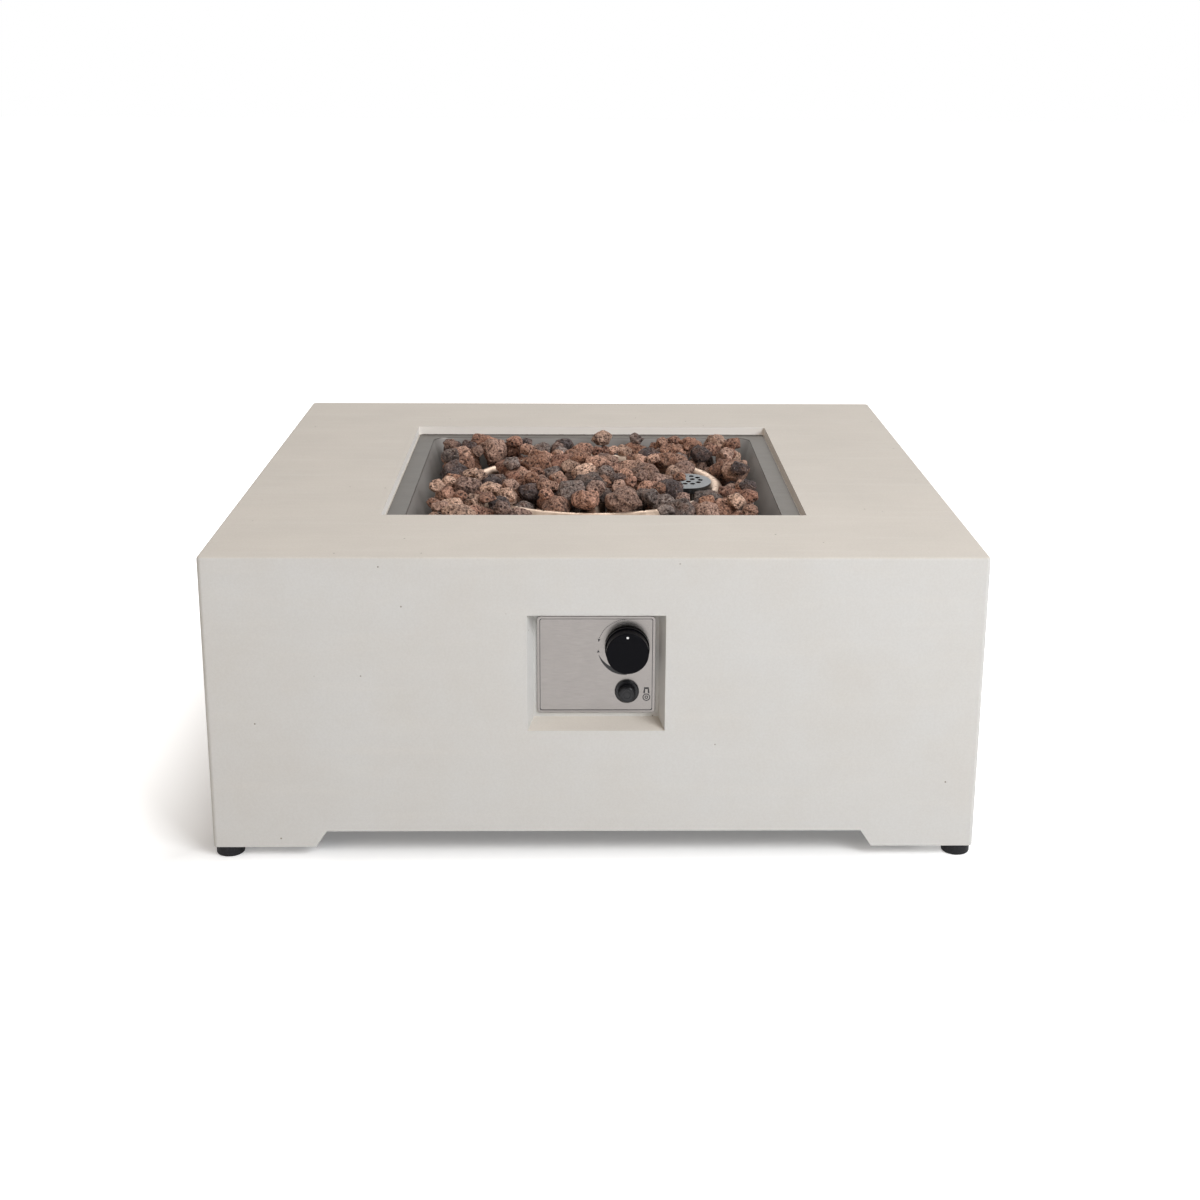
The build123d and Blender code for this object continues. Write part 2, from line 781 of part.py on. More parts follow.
# Die-cast body: flange and boss at the plate, a spring seat, and a bore for the tapered plug
with BuildPart() as valve_body:
    with BuildSketch(facing_front(plate_back)):
        with Locations((knob_x, knob_z)):
            RectangleRounded(valve_flange_width, valve_flange_height, valve_flange_height / 3)
    extrude(amount=-valve_flange_length)
    with BuildSketch(facing_front(plate_back - valve_flange_length)):
        with Locations((knob_x, knob_z)):
            RectangleRounded(valve_width, valve_height, 5)
    extrude(amount=-(valve_length - valve_flange_length))
    with BuildSketch(facing_front(plate_back)):
        with Locations((knob_x, knob_z)):
            Circle(valve_boss_radius)
    extrude(amount=boss_front)
    with BuildSketch(facing_front(boss_tip)):
        with Locations((knob_x, knob_z)):
            Circle(spring_seat_radius)
    extrude(amount=-spring_seat_depth, mode=Mode.SUBTRACT)
    with BuildSketch(facing_front(spring_seat)):
        with Locations((knob_x, knob_z)):
            Circle(spindle_radius + close_fit)
    extrude(amount=-valve_throat, mode=Mode.SUBTRACT)
    with BuildSketch(facing_front(plug_front)):
        with Locations((knob_x, knob_z)):
            Circle(plug_radius)
    extrude(amount=-(plug_front - valve_back), mode=Mode.SUBTRACT)
    with BuildSketch(facing_front(plate_back)):
        with Locations((knob_x, knob_z)):
            with GridLocations(valve_screw_pitch, 1, 2, 1):
                Circle(valve_screw_radius)
    extrude(amount=-valve_screw_length, mode=Mode.SUBTRACT)
    with BuildSketch(Plane.YZ.offset(knob_x)):
        with Locations((-port_depth, knob_z)):
            Circle(flare_bore)
    extrude(amount=valve_width / 2, both=True, mode=Mode.SUBTRACT)
save(valve_body, "valve_body")

# The plug turns in the body and carries the spindle in a socket with a flat
with BuildPart() as valve_plug:
    with BuildSketch(facing_front(plug_front - free_fit)):
        with Locations((knob_x, knob_z)):
            Circle(plug_radius - plug_fit)
    extrude(amount=-(plug_length - free_fit))
    with BuildSketch(facing_front(plug_front)):
        with Locations((knob_x, knob_z)):
            Circle(spindle_radius + close_fit)
            with Locations((0, spindle_flat + close_fit + spindle_radius)):
                Rectangle(4 * spindle_radius, 2 * spindle_radius, mode=Mode.SUBTRACT)
    extrude(amount=-plug_socket_depth, mode=Mode.SUBTRACT)
    with BuildSketch(Plane.YZ.offset(knob_x)):
        with Locations((-port_depth, knob_z)):
            Circle(flare_bore / 2)
    extrude(amount=plug_radius, mode=Mode.SUBTRACT)
save(valve_plug, "valve_plug")

# D-shaped spindle with the collar that its spring pushes against
with BuildPart() as valve_spindle:
    with BuildSketch(facing_front(spindle_back)):
        with Locations((knob_x, knob_z)):
            Circle(spindle_radius)
            with Locations((0, spindle_flat + spindle_radius)):
                Rectangle(4 * spindle_radius, 2 * spindle_radius, mode=Mode.SUBTRACT)
    extrude(amount=knob_front - knob_face - spindle_back)
    with BuildSketch(facing_front(collar_back)):
        with Locations((knob_x, knob_z)):
            Circle(collar_radius)
    extrude(amount=collar_length)
save(valve_spindle, "valve_spindle")

knob_spring = coil_along_y(
    knob_x, knob_z, spring_seat, collar_back - spring_seat, knob_spring_mean, knob_spring_wire,
    knob_spring_turns,
)
save(knob_spring, "knob_spring")

# Hollow knob with a skirt, a D-bored hub and a dimple for the pointer dot
with BuildPart() as knob:
    with BuildSketch(facing_front(knob_back)):
        with Locations((knob_x, knob_z)):
            Circle(knob_skirt_radius)
    extrude(amount=knob_skirt_length)
    with BuildSketch(facing_front(knob_back)):
        with Locations((knob_x, knob_z)):
            Circle(knob_radius)
    extrude(amount=knob_length)
    chamfer(knob.faces().sort_by(Axis.Y)[0].edges(), knob_edge)
    with BuildSketch(facing_front(knob_back)):
        with Locations((knob_x, knob_z)):
            Circle(knob_radius - knob_wall)
    extrude(amount=knob_length - knob_face, mode=Mode.SUBTRACT)
    with BuildSketch(facing_front(hub_back)):
        with Locations((knob_x, knob_z)):
            Circle(knob_hub_radius)
            Circle(spindle_radius, mode=Mode.SUBTRACT)
            with Locations((0, spindle_flat + knob_hub_radius / 4)):
                Rectangle(2 * spindle_radius, knob_hub_radius / 2)
    extrude(amount=knob_front - knob_face - hub_back)
    with BuildSketch(facing_front(knob_front)):
        with Locations((knob_x, knob_z + knob_radius - knob_dot_inset)):
            Circle(knob_dot_radius)
    extrude(amount=-knob_dot_depth, mode=Mode.SUBTRACT)
save(knob, "knob")

with BuildPart() as valve_screws:
    with BuildSketch(facing_front(plate_back - valve_screw_length)):
        with Locations((knob_x, knob_z)):
            with GridLocations(valve_screw_pitch, 1, 2, 1):
                Circle(valve_screw_radius)
    extrude(amount=valve_screw_length + plate_sheet)
    with BuildSketch(facing_front(plate_front)):
        with Locations((knob_x, knob_z)):
            with GridLocations(valve_screw_pitch, 1, 2, 1):
                Circle(valve_screw_head_radius)
    extrude(amount=valve_screw_head)
save(valve_screws, "valve_screws")

# Safety magnet that closes the rear of the valve, with the union of the thermocouple lead
with BuildPart() as magnet_unit:
    with BuildSketch(facing_front(valve_back)):
        with Locations((knob_x, knob_z)):
            Circle(plug_radius)
    extrude(amount=plug_back - valve_back - plug_fit)
    with BuildSketch(facing_front(valve_back)):
        with Locations((knob_x, knob_z)):
            Circle(magnet_radius)
    extrude(amount=-magnet_length)
    with BuildSketch(facing_front(valve_back - magnet_length)):
        with Locations((knob_x, knob_z)):
            RegularPolygon(hexagon(magnet_nut_flats), 6)
    extrude(amount=-magnet_nut_length)
save(magnet_unit, "magnet_unit")

# Brass inlet elbow with a free male flare that points down, for the hose
inlet_x = knob_x + valve_width / 2 + inlet_elbow_reach
with BuildPart() as inlet_fitting:
    with BuildSketch(Plane.YZ.offset(knob_x + valve_width / 2)):
        with Locations((-port_depth, knob_z)):
            RegularPolygon(hexagon(line_nut_flats), 6)
    extrude(amount=inlet_elbow_reach)
    with BuildSketch(Plane.XY.offset(knob_z - inlet_elbow_radius)):
        with Locations((inlet_x, -port_depth)):
            RegularPolygon(hexagon(2 * inlet_elbow_radius), 6)
    extrude(amount=2 * inlet_elbow_radius)
    with BuildSketch(Plane.XY.offset(knob_z - inlet_drop)):
        with Locations((inlet_x, -port_depth)):
            Circle(flare_radius)
    extrude(amount=inlet_drop)
    chamfer(inlet_fitting.faces().sort_by(Axis.Z)[0].edges(), flare_radius / 3)
    with BuildSketch(Plane.XY.offset(knob_z - inlet_drop)):
        with Locations((inlet_x, -port_depth)):
            Circle(flare_bore)
    extrude(amount=inlet_drop + flare_bore, mode=Mode.SUBTRACT)
    with BuildSketch(Plane.YZ.offset(knob_x + valve_width / 2)):
        with Locations((-port_depth, knob_z)):
            Circle(inlet_bore)
    extrude(amount=inlet_elbow_reach, mode=Mode.SUBTRACT)
save(inlet_fitting, "inlet_fitting")

# ---- Igniter -------------------------------------------------------------------------------------

# Housing: flange at the plate, threaded barrel, a wide bore for the button, a narrow one for the cell
with BuildPart() as igniter_housing:
    with BuildSketch(facing_front(plate_front)):
        with Locations((knob_x, igniter_z)):
            Circle(igniter_flange_radius)
    extrude(amount=igniter_flange)
    chamfer(igniter_housing.faces().sort_by(Axis.Y)[0].edges(), igniter_flange / 3)
    with BuildSketch(facing_front(plate_front)):
        with Locations((knob_x, igniter_z)):
            Circle(igniter_barrel_radius)
    extrude(amount=-(plate_front - igniter_end))
    with BuildSketch(facing_front(igniter_front)):
        with Locations((knob_x, igniter_z)):
            Circle(igniter_bore)
    extrude(amount=-igniter_bore_depth, mode=Mode.SUBTRACT)
    with BuildSketch(facing_front(igniter_step)):
        with Locations((knob_x, igniter_z)):
            Circle(battery_radius + battery_fit)
    extrude(amount=-(igniter_step - igniter_end - igniter_back), mode=Mode.SUBTRACT)
    with BuildSketch(facing_front(igniter_end)):
        with Locations((knob_x, igniter_z)):
            Rectangle(terminal_width, terminal_sheet)
    extrude(amount=-terminal_length)
save(igniter_housing, "igniter_housing")

# Round plastic nut with finger notches
with BuildPart() as igniter_nut:
    with BuildSketch(facing_front(plate_back)):
        with Locations((knob_x, igniter_z)):
            Circle(igniter_nut_radius)
            Circle(igniter_barrel_radius, mode=Mode.SUBTRACT)
            with PolarLocations(igniter_nut_radius, igniter_nut_notches):
                Circle(igniter_nut_radius / 10, mode=Mode.SUBTRACT)
    extrude(amount=-igniter_nut_height)
save(igniter_nut, "igniter_nut")

with BuildPart() as battery:
    with BuildSketch(facing_front(battery_front)):
        with Locations((knob_x, igniter_z)):
            Circle(battery_radius)
    extrude(amount=-battery_length)
    with BuildSketch(facing_front(battery_front - battery_length)):
        with Locations((knob_x, igniter_z)):
            Circle(battery_tip_radius)
    extrude(amount=-battery_tip)
save(battery, "battery")

# Push button: a ribbed cap, hollow from behind for its spring
with BuildPart() as igniter_button:
    with BuildSketch(facing_front(button_back)):
        with Locations((knob_x, igniter_z)):
            Circle(button_radius)
    extrude(amount=button_length)
    chamfer(igniter_button.faces().sort_by(Axis.Y)[0].edges(), button_wall)
    with BuildSketch(facing_front(button_back)):
        with Locations((knob_x, igniter_z)):
            Circle(button_radius - button_wall)
    extrude(amount=button_length - button_face, mode=Mode.SUBTRACT)
    with BuildSketch(facing_front(igniter_front + button_push + free_fit)):
        with Locations((knob_x, igniter_z)):
            with PolarLocations(button_radius, button_ribs):
                Circle(rib_radius, mode=Mode.ADD)
            Circle(button_radius - button_wall / 2, mode=Mode.SUBTRACT)
    extrude(amount=button_front - igniter_front - button_push - free_fit - 2 * button_wall)
save(igniter_button, "igniter_button")

button_spring = coil_along_y(
    knob_x, igniter_z, igniter_step, button_front - button_face - igniter_step, button_spring_mean,
    button_spring_wire, button_spring_turns,
)
save(button_spring, "button_spring")

# ---- Rock guard, thermocouple and electrode ------------------------------------------------------

# Perforated hood with a rounded nose, a lip bent down round it, and a leg with a foot at the back
guard_plane = Plane(
    origin=(guard_centre_x, guard_centre_y, guard_low_z + guard_radius * sin(radians(guard_tilt))),
    x_dir=(1, 0, 0),
    z_dir=(0, -sin(radians(guard_tilt)), cos(radians(guard_tilt))),
)
with BuildPart() as rock_guard:
    with BuildSketch(guard_plane):
        Circle(guard_radius)
        with Locations((-guard_straight / 2, 0)):
            Rectangle(guard_straight, 2 * guard_radius)
        with Locations((-guard_straight - guard_radius / 2, 0)):
            Rectangle(guard_radius, 2 * guard_radius, mode=Mode.SUBTRACT)
    extrude(amount=-guard_lip)
    with BuildSketch(guard_plane.offset(-guard_sheet)):
        Circle(guard_radius - guard_sheet)
        with Locations((-guard_straight / 2, 0)):
            Rectangle(guard_straight, 2 * (guard_radius - guard_sheet))
        with Locations((-guard_straight - guard_radius / 2 + guard_sheet, 0)):
            Rectangle(guard_radius, 2 * guard_radius, mode=Mode.SUBTRACT)
    extrude(amount=-guard_lip, mode=Mode.SUBTRACT)
    with BuildSketch(guard_plane):
        with Locations((0, guard_hole_shift)):
            with PolarLocations(guard_hole_circle, guard_holes):
                Circle(guard_hole_radius)
            with PolarLocations(guard_inner_circle, guard_inner_holes, start_angle=30):
                Circle(guard_hole_radius)
    extrude(amount=-guard_sheet, mode=Mode.SUBTRACT)
    leg_top_z = guard_low_z + guard_radius * sin(radians(guard_tilt)) - guard_sheet
    foot_low_z = pan_floor_z + bracket_sheet
    with BuildSketch(Plane.XY.offset(foot_low_z)):
        with Locations((guard_back_x + guard_sheet / 2, guard_centre_y)):
            Rectangle(guard_sheet, guard_leg_width)
    extrude(amount=leg_top_z - foot_low_z)
    with BuildSketch(Plane.XY.offset(foot_low_z)):
        with Locations((guard_back_x - guard_foot / 2 + guard_sheet / 2, guard_centre_y)):
            Rectangle(guard_foot + guard_sheet, sensor_screw_pitch + guard_foot / 2)
    extrude(amount=guard_sheet)
    with BuildSketch(Plane.XY.offset(foot_low_z)):
        with Locations((guard_back_x - guard_foot / 2, guard_centre_y)):
            with GridLocations(1, sensor_screw_pitch, 1, 2):
                Circle(sensor_screw_radius)
    extrude(amount=guard_sheet, mode=Mode.SUBTRACT)
save(rock_guard, "rock_guard")

# Plate under the foot of the guard, with a clamp collar for the probe and one for the electrode
bracket_back_x = guard_back_x - guard_foot
bracket_front_x = sensor_x + clamp_radius + bracket_sheet
with BuildPart() as sensor_bracket:
    with BuildSketch(Plane.XY.offset(pan_floor_z)):
        with Locations(((bracket_back_x + bracket_front_x) / 2, guard_centre_y)):
            Rectangle(bracket_front_x - bracket_back_x, bracket_width)
    extrude(amount=bracket_sheet)
    with BuildSketch(Plane.XY.offset(pan_floor_z)):
        with Locations((sensor_x, probe_y), (sensor_x, electrode_y)):
            Circle(clamp_radius)
    extrude(amount=clamp_height)
    with BuildSketch(Plane.XY.offset(pan_floor_z)):
        with Locations((sensor_x, probe_y)):
            Circle(probe_radius)
        with Locations((sensor_x, electrode_y)):
            Circle(electrode_radius)
        with Locations((guard_back_x - guard_foot / 2, guard_centre_y)):
            with GridLocations(1, sensor_screw_pitch, 1, 2):
                Circle(sensor_screw_radius)
    extrude(amount=clamp_height, mode=Mode.SUBTRACT)
save(sensor_bracket, "sensor_bracket")

with BuildPart() as sensor_screws:
    screw_low_z = pan_under_z - sensor_nut_height - sensor_screw_tail
    with BuildSketch(Plane.XY.offset(screw_low_z)):
        with Locations((guard_back_x - guard_foot / 2, guard_centre_y)):
            with GridLocations(1, sensor_screw_pitch, 1, 2):
                Circle(sensor_screw_radius)
    extrude(amount=foot_low_z + guard_sheet - screw_low_z)
    with BuildSketch(Plane.XY.offset(foot_low_z + guard_sheet)):
        with Locations((guard_back_x - guard_foot / 2, guard_centre_y)):
            with GridLocations(1, sensor_screw_pitch, 1, 2):
                Circle(sensor_screw_head_radius)
    extrude(amount=sensor_screw_radius)
save(sensor_screws, "sensor_screws")

with BuildPart() as sensor_nuts:
    with BuildSketch(Plane.XY.offset(pan_under_z - sensor_nut_height)):
        with Locations((guard_back_x - guard_foot / 2, guard_centre_y)):
            with GridLocations(1, sensor_screw_pitch, 1, 2):
                RegularPolygon(hexagon(sensor_nut_flats), 6)
                Circle(sensor_screw_radius, mode=Mode.SUBTRACT)
    extrude(amount=sensor_nut_height)
save(sensor_nuts, "sensor_nuts")

probe_low_z = pan_under_z - probe_tail
with BuildPart() as thermocouple:
    with BuildSketch(Plane.XY.offset(probe_low_z)):
        with Locations((sensor_x, probe_y)):
            Circle(probe_radius)
    extrude(amount=probe_top_z - probe_low_z)
    fillet(thermocouple.faces().sort_by(Axis.Z)[-1].edges(), probe_radius * 0.8)
save(thermocouple, "thermocouple")

electrode_low_z = pan_under_z - electrode_tail
with BuildPart() as electrode_insulator:
    with BuildSketch(Plane.XY.offset(electrode_low_z)):
        with Locations((sensor_x, electrode_y)):
            Circle(electrode_radius)
            Circle(electrode_wire, mode=Mode.SUBTRACT)
    extrude(amount=electrode_top_z - electrode_low_z)
save(electrode_insulator, "electrode_insulator")

# Spark wire: up through the insulator, then bent over towards the ring
wire_low_z = electrode_low_z - 6
wire_route = (
    (sensor_x, electrode_y, wire_low_z),
    (sensor_x, electrode_y, electrode_top_z + electrode_rise),
    (sensor_x + electrode_reach, electrode_y, electrode_top_z + electrode_rise),
)
with BuildPart() as electrode_wire_bent:
    with BuildLine() as wire_line:
        FilletPolyline(*wire_route, radius=3 * electrode_wire)
    wire_path = wire_line.wires()[0]
    with BuildSketch(Plane(origin=wire_path @ 0, z_dir=wire_path % 0)):
        Circle(electrode_wire)
    sweep(path=wire_path)
save(electrode_wire_bent, "electrode_wire")

# ---- Leads under the pan -------------------------------------------------------------------------

hanging_z = pan_under_z - lead_hang
magnet_end_y = magnet_length + magnet_nut_length - valve_back
thermocouple_route = (
    (knob_x, magnet_end_y, knob_z),
    (knob_x, magnet_end_y + thermocouple_run, knob_z),
    *((x, y, hanging_z + rise) for x, y, rise in thermocouple_bends),
    *((sensor_x + x, probe_y + y, hanging_z + rise) for x, y, rise in thermocouple_turns),
    (sensor_x, probe_y, probe_low_z),
)
thermocouple_lead = tube_along(thermocouple_route, lead_radius, "thermocouple_lead")
save(thermocouple_lead, "thermocouple_lead")

terminal_end_y = terminal_length - igniter_end
ignition_route = (
    (knob_x, terminal_end_y, igniter_z),
    (knob_x, terminal_end_y + ignition_run, igniter_z),
    *((x, y, hanging_z + rise) for x, y, rise in ignition_bends),
    *((sensor_x + x, electrode_y + y, hanging_z + rise) for x, y, rise in ignition_turns),
    (sensor_x, electrode_y, wire_low_z),
)
ignition_lead = tube_along(ignition_route, lead_radius, "ignition_lead")
save(ignition_lead, "ignition_lead")

# ---- Lava rock -----------------------------------------------------------------------------------

golden_angle = pi * (3 - sqrt(5))
far = 1000.0
far_corners = np.array([(far, 0, far**2), (-far / 2, far, far**2), (-far / 2, -far, far**2)])


def broken_lump(random, corners, size):
    """Corner points of one uneven lump about its middle, flattened and turned by chance."""
    reach = np.array([size, size * random.uniform(0.78, 1.0), size * random.uniform(0.62, 0.8)]) / 2
    spin = random.uniform(0, 2 * pi)
    points = []
    for corner in range(corners):
        height = 1 - 2 * (corner + 0.5) / corners
        around = golden_angle * corner + random.uniform(-0.35, 0.35)
        level = sqrt(1 - height**2)
        x, y, z = reach * (level * cos(around), level * sin(around), height) * random.uniform(0.86, 1.0)
        points.append((x * cos(spin) - y * sin(spin), x * sin(spin) + y * cos(spin), z))
    return np.array(points)


def free_drop(lump, obstacle):
    """How far the lump can sink before it meets the obstacle.

    That is how high the hull of all differences of their corners begins on the upright axis. A face
    of the hull is found by swapping in the lowest difference below it, until none is left below.
    """
    differences = (lump[:, None] - obstacle).reshape(-1, 3)
    corners = far_corners.copy()
    shares = np.full(3, 1 / 3)
    for _ in range(len(differences)):
        face = np.linalg.solve(np.column_stack([corners[:, :2], np.ones(3)]), corners[:, 2])
        above = differences[:, 2] - differences[:, :2] @ face[:2] - face[2]
        lowest = differences[above.argmin()]
        if above.min() > -same_height:
            break
        toward = np.linalg.solve(np.vstack([corners[:, :2].T, np.ones(3)]), (lowest[0], lowest[1], 1))
        steps = np.divide(shares, toward, out=np.full(3, np.inf), where=toward > 0)
        out = steps.argmin()
        step = steps[out]
        shares = shares - step * toward
        shares[out] = step
        corners[out] = lowest
    return face[2]


def column(outline, low, high):
    """Corner points of an upright column, as high at each point of its outline as the function says."""
    return np.array([(x, y, z) for x, y in outline for z in (low, high(y))])


def arc_points(x, y, radius, start, stop, count):
    """Points just outside an arc, so that their straight sides don't cut it."""
    outside = radius / cos(radians(stop - start) / count / 2)
    angles = [radians(start + (stop - start) * step / count) for step in range(count + 1)]
    return [(x + outside * cos(angle), y + outside * sin(angle)) for angle in angles]


def bar_points(start, stop, radius):
    """Corner points of a level bar with sixteen sides, a little larger than the round one."""
    along = atan2(stop[1] - start[1], stop[0] - start[0])
    section = arc_points(0, ring_z, radius, 0, 360, 16)
    points = []
    for x, y in (start, stop):
        points += [(x - side * sin(along), y + side * cos(along), z) for side, z in section]
    return np.array(points)


ring_steps = 64
ring_line = arc_points(0, 0, ring_radius, 0, 360, ring_steps)
ring_bulge = hypot(*ring_line[0]) - ring_radius
guard_nose = arc_points(guard_centre_x, guard_centre_y, guard_radius, -90, 90, 12)
guard_sides = (guard_centre_y - guard_radius, guard_centre_y + guard_radius)
guard_back = [(guard_back_x, side) for side in guard_sides]
guard_rise = tan(radians(guard_tilt))
clamp_ends = (guard_centre_y - bracket_width / 2, guard_centre_y + bracket_width / 2)
clamp_plate = [(x, y) for x in (bracket_back_x, bracket_front_x) for y in clamp_ends]
foot_top_z = foot_low_z + guard_sheet
screw_top_z = foot_top_z + sensor_screw_radius
obstacles = []


def stands(points):
    """Add something that rocks rest on, with the corners of its box."""
    obstacles.append((points, points.min(axis=0).tolist(), points.max(axis=0).tolist()))


for start, stop in zip(ring_line, ring_line[1:]):
    stands(bar_points(start, stop, ring_tube_radius + ring_bulge))
stands(bar_points((0, -ring_radius), (0, ring_radius), crossbar_radius))
stands(column(arc_points(0, 0, hub_radius, 0, 360, 16), pan_floor_z, lambda y: ring_z + crossbar_radius))
guard_outline = guard_nose + guard_back
stands(column(guard_outline, pan_floor_z, lambda y: guard_low_z + guard_rise * (y - guard_sides[0])))
stands(column(clamp_plate, pan_floor_z, lambda y: foot_top_z))
for screw_y in (guard_centre_y - sensor_screw_pitch / 2, guard_centre_y + sensor_screw_pitch / 2):
    head = arc_points(guard_back_x - guard_foot / 2, screw_y, sensor_screw_head_radius, 0, 360, 16)
    stands(column(head, foot_top_z, lambda y: screw_top_z))
rock_limit = pan_floor_side / 2 - pan_sheet - rock_fit


def settle(lump, x, y):
    """The lump lowered at this place until it lies on what is below it, or None outside the pan."""
    grown = lump * (1 + rock_growth) + (x, y, top_z + drop_start)
    low, high = grown.min(axis=0).tolist(), grown.max(axis=0).tolist()
    if min(low[:2]) < -rock_limit or max(high[:2]) > rock_limit:
        return None
    drop = low[2] - pan_floor_z
    for points, below, above in obstacles:
        apart = max(low[0] - above[0], below[0] - high[0], low[1] - above[1], below[1] - high[1])
        if apart < 0 and low[2] - above[2] < drop:
            drop = min(drop, free_drop(grown, points))
    return lump + (x, y, top_z + drop_start - drop)


def lowest_of(lump, x, y, random, wander, tries):
    """The lowest of several places near the wanted one, as a rolling rock would find."""
    best = None
    for _ in range(tries):
        placed = settle(lump, x + random.uniform(-wander, wander), y + random.uniform(-wander, wander))
        if placed is not None and (best is None or placed[:, 2].max() < best[:, 2].max()):
            best = placed
    return best


def pour(random, corners, pitch, sizes, highest, wanted):
    """Drop one lump on each place of a shifted grid, and keep those that end low enough."""
    kept = []
    row_pitch = pitch * sqrt(3) / 2
    for row in range(int(2 * rock_limit / row_pitch) + 1):
        y = -rock_limit + pitch / 2 + row * row_pitch
        for place in range(int(2 * rock_limit / pitch) + 1):
            x = -rock_limit + pitch / 2 + (place + row % 2 / 2) * pitch
            lump = broken_lump(random, corners, random.uniform(*sizes))
            if not wanted(x, y):
                continue
            placed = lowest_of(lump, x, y, random, pitch / 4, rock_tries)
            if placed is not None and placed[:, 2].max() < pan_floor_z + highest:
                stands(placed)
                kept.append(placed)
    return kept


def keeps_clear(x, y):
    """Whether a lump here would lie on the bare ring, in front of it, or on the sensor guard."""
    angle = degrees(atan2(y, x))
    faces_bare = bare_right[0] < angle < bare_right[1] or bare_left[0] < angle % 360 < bare_left[1]
    on_ring = abs(hypot(x, y) - ring_radius) < bare_reach
    before_ring = y < -ring_radius and abs(x) < bare_front_half
    on_guard = guard_sides[0] < y < guard_sides[1] and guard_back_x < x < guard_nose_x
    return before_ring or (faces_bare and on_ring) or on_guard


def rock_group(lumps, name):
    """The lumps as one group of separate solids in its own file."""
    shapes = [ConvexPolyhedron([tuple(point) for point in lump], mode=Mode.PRIVATE) for lump in lumps]
    group = Compound(children=[shape.solid() for shape in shapes])
    group.label = name
    export_step(group, f"parts/{name}.step")
    print(name, len(shapes), "rocks")


def off_centre(lump):
    """How far the middle of a lump is from the axis of the ring."""
    return hypot(*lump[:, :2].mean(axis=0))


chance = Random(2)
bed = pour(chance, bed_corners, bed_pitch, bed_size, bed_height, lambda x, y: True)
fill = pour(chance, bed_corners, fill_pitch, fill_size, fill_height, lambda x, y: not keeps_clear(x, y))
heap = []
for size, x, y in laid_rocks:
    laid_lump = broken_lump(chance, heap_corners, size)
    heap.append(lowest_of(laid_lump, x, y, chance, laid_wander, laid_tries))
    stands(heap[-1])
heap += pour(chance, heap_corners, heap_pitch, heap_size, heap_height, lambda x, y: not keeps_clear(x, y))
heap += pour(chance, chip_corners, chip_pitch, chip_size, chip_height, lambda x, y: not keeps_clear(x, y))
rock_group(bed, "lava_rocks_bed")
rock_group(fill, "lava_rocks_fill")
rock_group([lump for lump in heap if off_centre(lump) < ring_radius], "lava_rocks_inside")
rock_group([lump for lump in heap if off_centre(lump) >= ring_radius], "lava_rocks_outside")
print("heap top", round(max(lump[:, 2].max() for lump in heap), 1))
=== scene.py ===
from itertools import product
from math import cos, pi, radians, sin
from random import Random

import bmesh
import bpy
import numpy as np
from mathutils import Matrix, Vector


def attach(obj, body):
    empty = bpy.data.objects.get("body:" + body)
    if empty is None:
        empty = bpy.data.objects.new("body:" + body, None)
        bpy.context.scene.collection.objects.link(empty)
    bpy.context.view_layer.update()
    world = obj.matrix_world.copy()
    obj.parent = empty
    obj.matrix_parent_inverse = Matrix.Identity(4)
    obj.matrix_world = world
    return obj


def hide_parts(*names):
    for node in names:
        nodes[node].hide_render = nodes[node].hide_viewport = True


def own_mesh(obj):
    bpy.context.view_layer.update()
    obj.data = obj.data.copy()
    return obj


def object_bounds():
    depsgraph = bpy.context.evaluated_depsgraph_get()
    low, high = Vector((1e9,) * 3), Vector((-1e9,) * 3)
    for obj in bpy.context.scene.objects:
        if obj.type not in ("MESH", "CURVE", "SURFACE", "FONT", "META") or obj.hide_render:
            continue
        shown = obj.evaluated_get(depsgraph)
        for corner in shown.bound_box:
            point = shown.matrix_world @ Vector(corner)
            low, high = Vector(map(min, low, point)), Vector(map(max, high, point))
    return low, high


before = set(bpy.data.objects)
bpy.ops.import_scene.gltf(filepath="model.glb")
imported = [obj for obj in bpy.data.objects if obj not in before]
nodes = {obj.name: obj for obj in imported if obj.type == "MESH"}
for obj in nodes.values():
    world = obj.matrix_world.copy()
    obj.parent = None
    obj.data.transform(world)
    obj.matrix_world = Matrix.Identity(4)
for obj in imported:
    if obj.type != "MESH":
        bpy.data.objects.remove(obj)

cad_low, cad_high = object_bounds()

# ---- Viewpoint -----------------------------------------------------------------------------------
# The fire table is looked at from a little above and 1.7 m in front of its front wall.
# The lens is a short telephoto on a 36 mm sensor, shifted slightly so that the table sits low in view.

look_yaw, look_down, look_roll = radians(1.1095), radians(15.991), radians(0.3586)
ahead = Vector((sin(look_yaw) * cos(look_down), cos(look_yaw) * cos(look_down), -sin(look_down)))
level = Vector((cos(look_yaw), -sin(look_yaw), 0))
above = level.cross(ahead)
across = cos(look_roll) * level + sin(look_roll) * above
upright = cos(look_roll) * above - sin(look_roll) * level
camera = bpy.data.objects.new("camera", bpy.data.cameras.new("camera"))
camera.data.sensor_width = 36
camera.data.lens = 52.52
camera.data.shift_x = -0.0122
camera.data.shift_y = -0.0400
camera.matrix_world = Matrix((across, upright, -ahead)).transposed().to_4x4()
camera.location = (-0.0135, -2.12195, 0.8315)
bpy.context.scene.collection.objects.link(camera)
bpy.context.scene.camera = camera
bpy.context.scene.view_settings.view_transform = "Standard"

# ---- Studio --------------------------------------------------------------------------------------
# A white room: one large soft box high on the right, a weaker one on the left, one behind, and pale walls.
# The floor is white board that keeps only the soft shadow of the table, and is open to a look from below.


def srgb(code):
    """Linear colour of an sRGB hex value."""
    channels = [int(code[at:at + 2], 16) / 255 for at in (1, 3, 5)]
    linear = [c / 12.92 if c <= 0.04045 else ((c + 0.055) / 1.055) ** 2.4 for c in channels]
    return (*linear, 1.0)


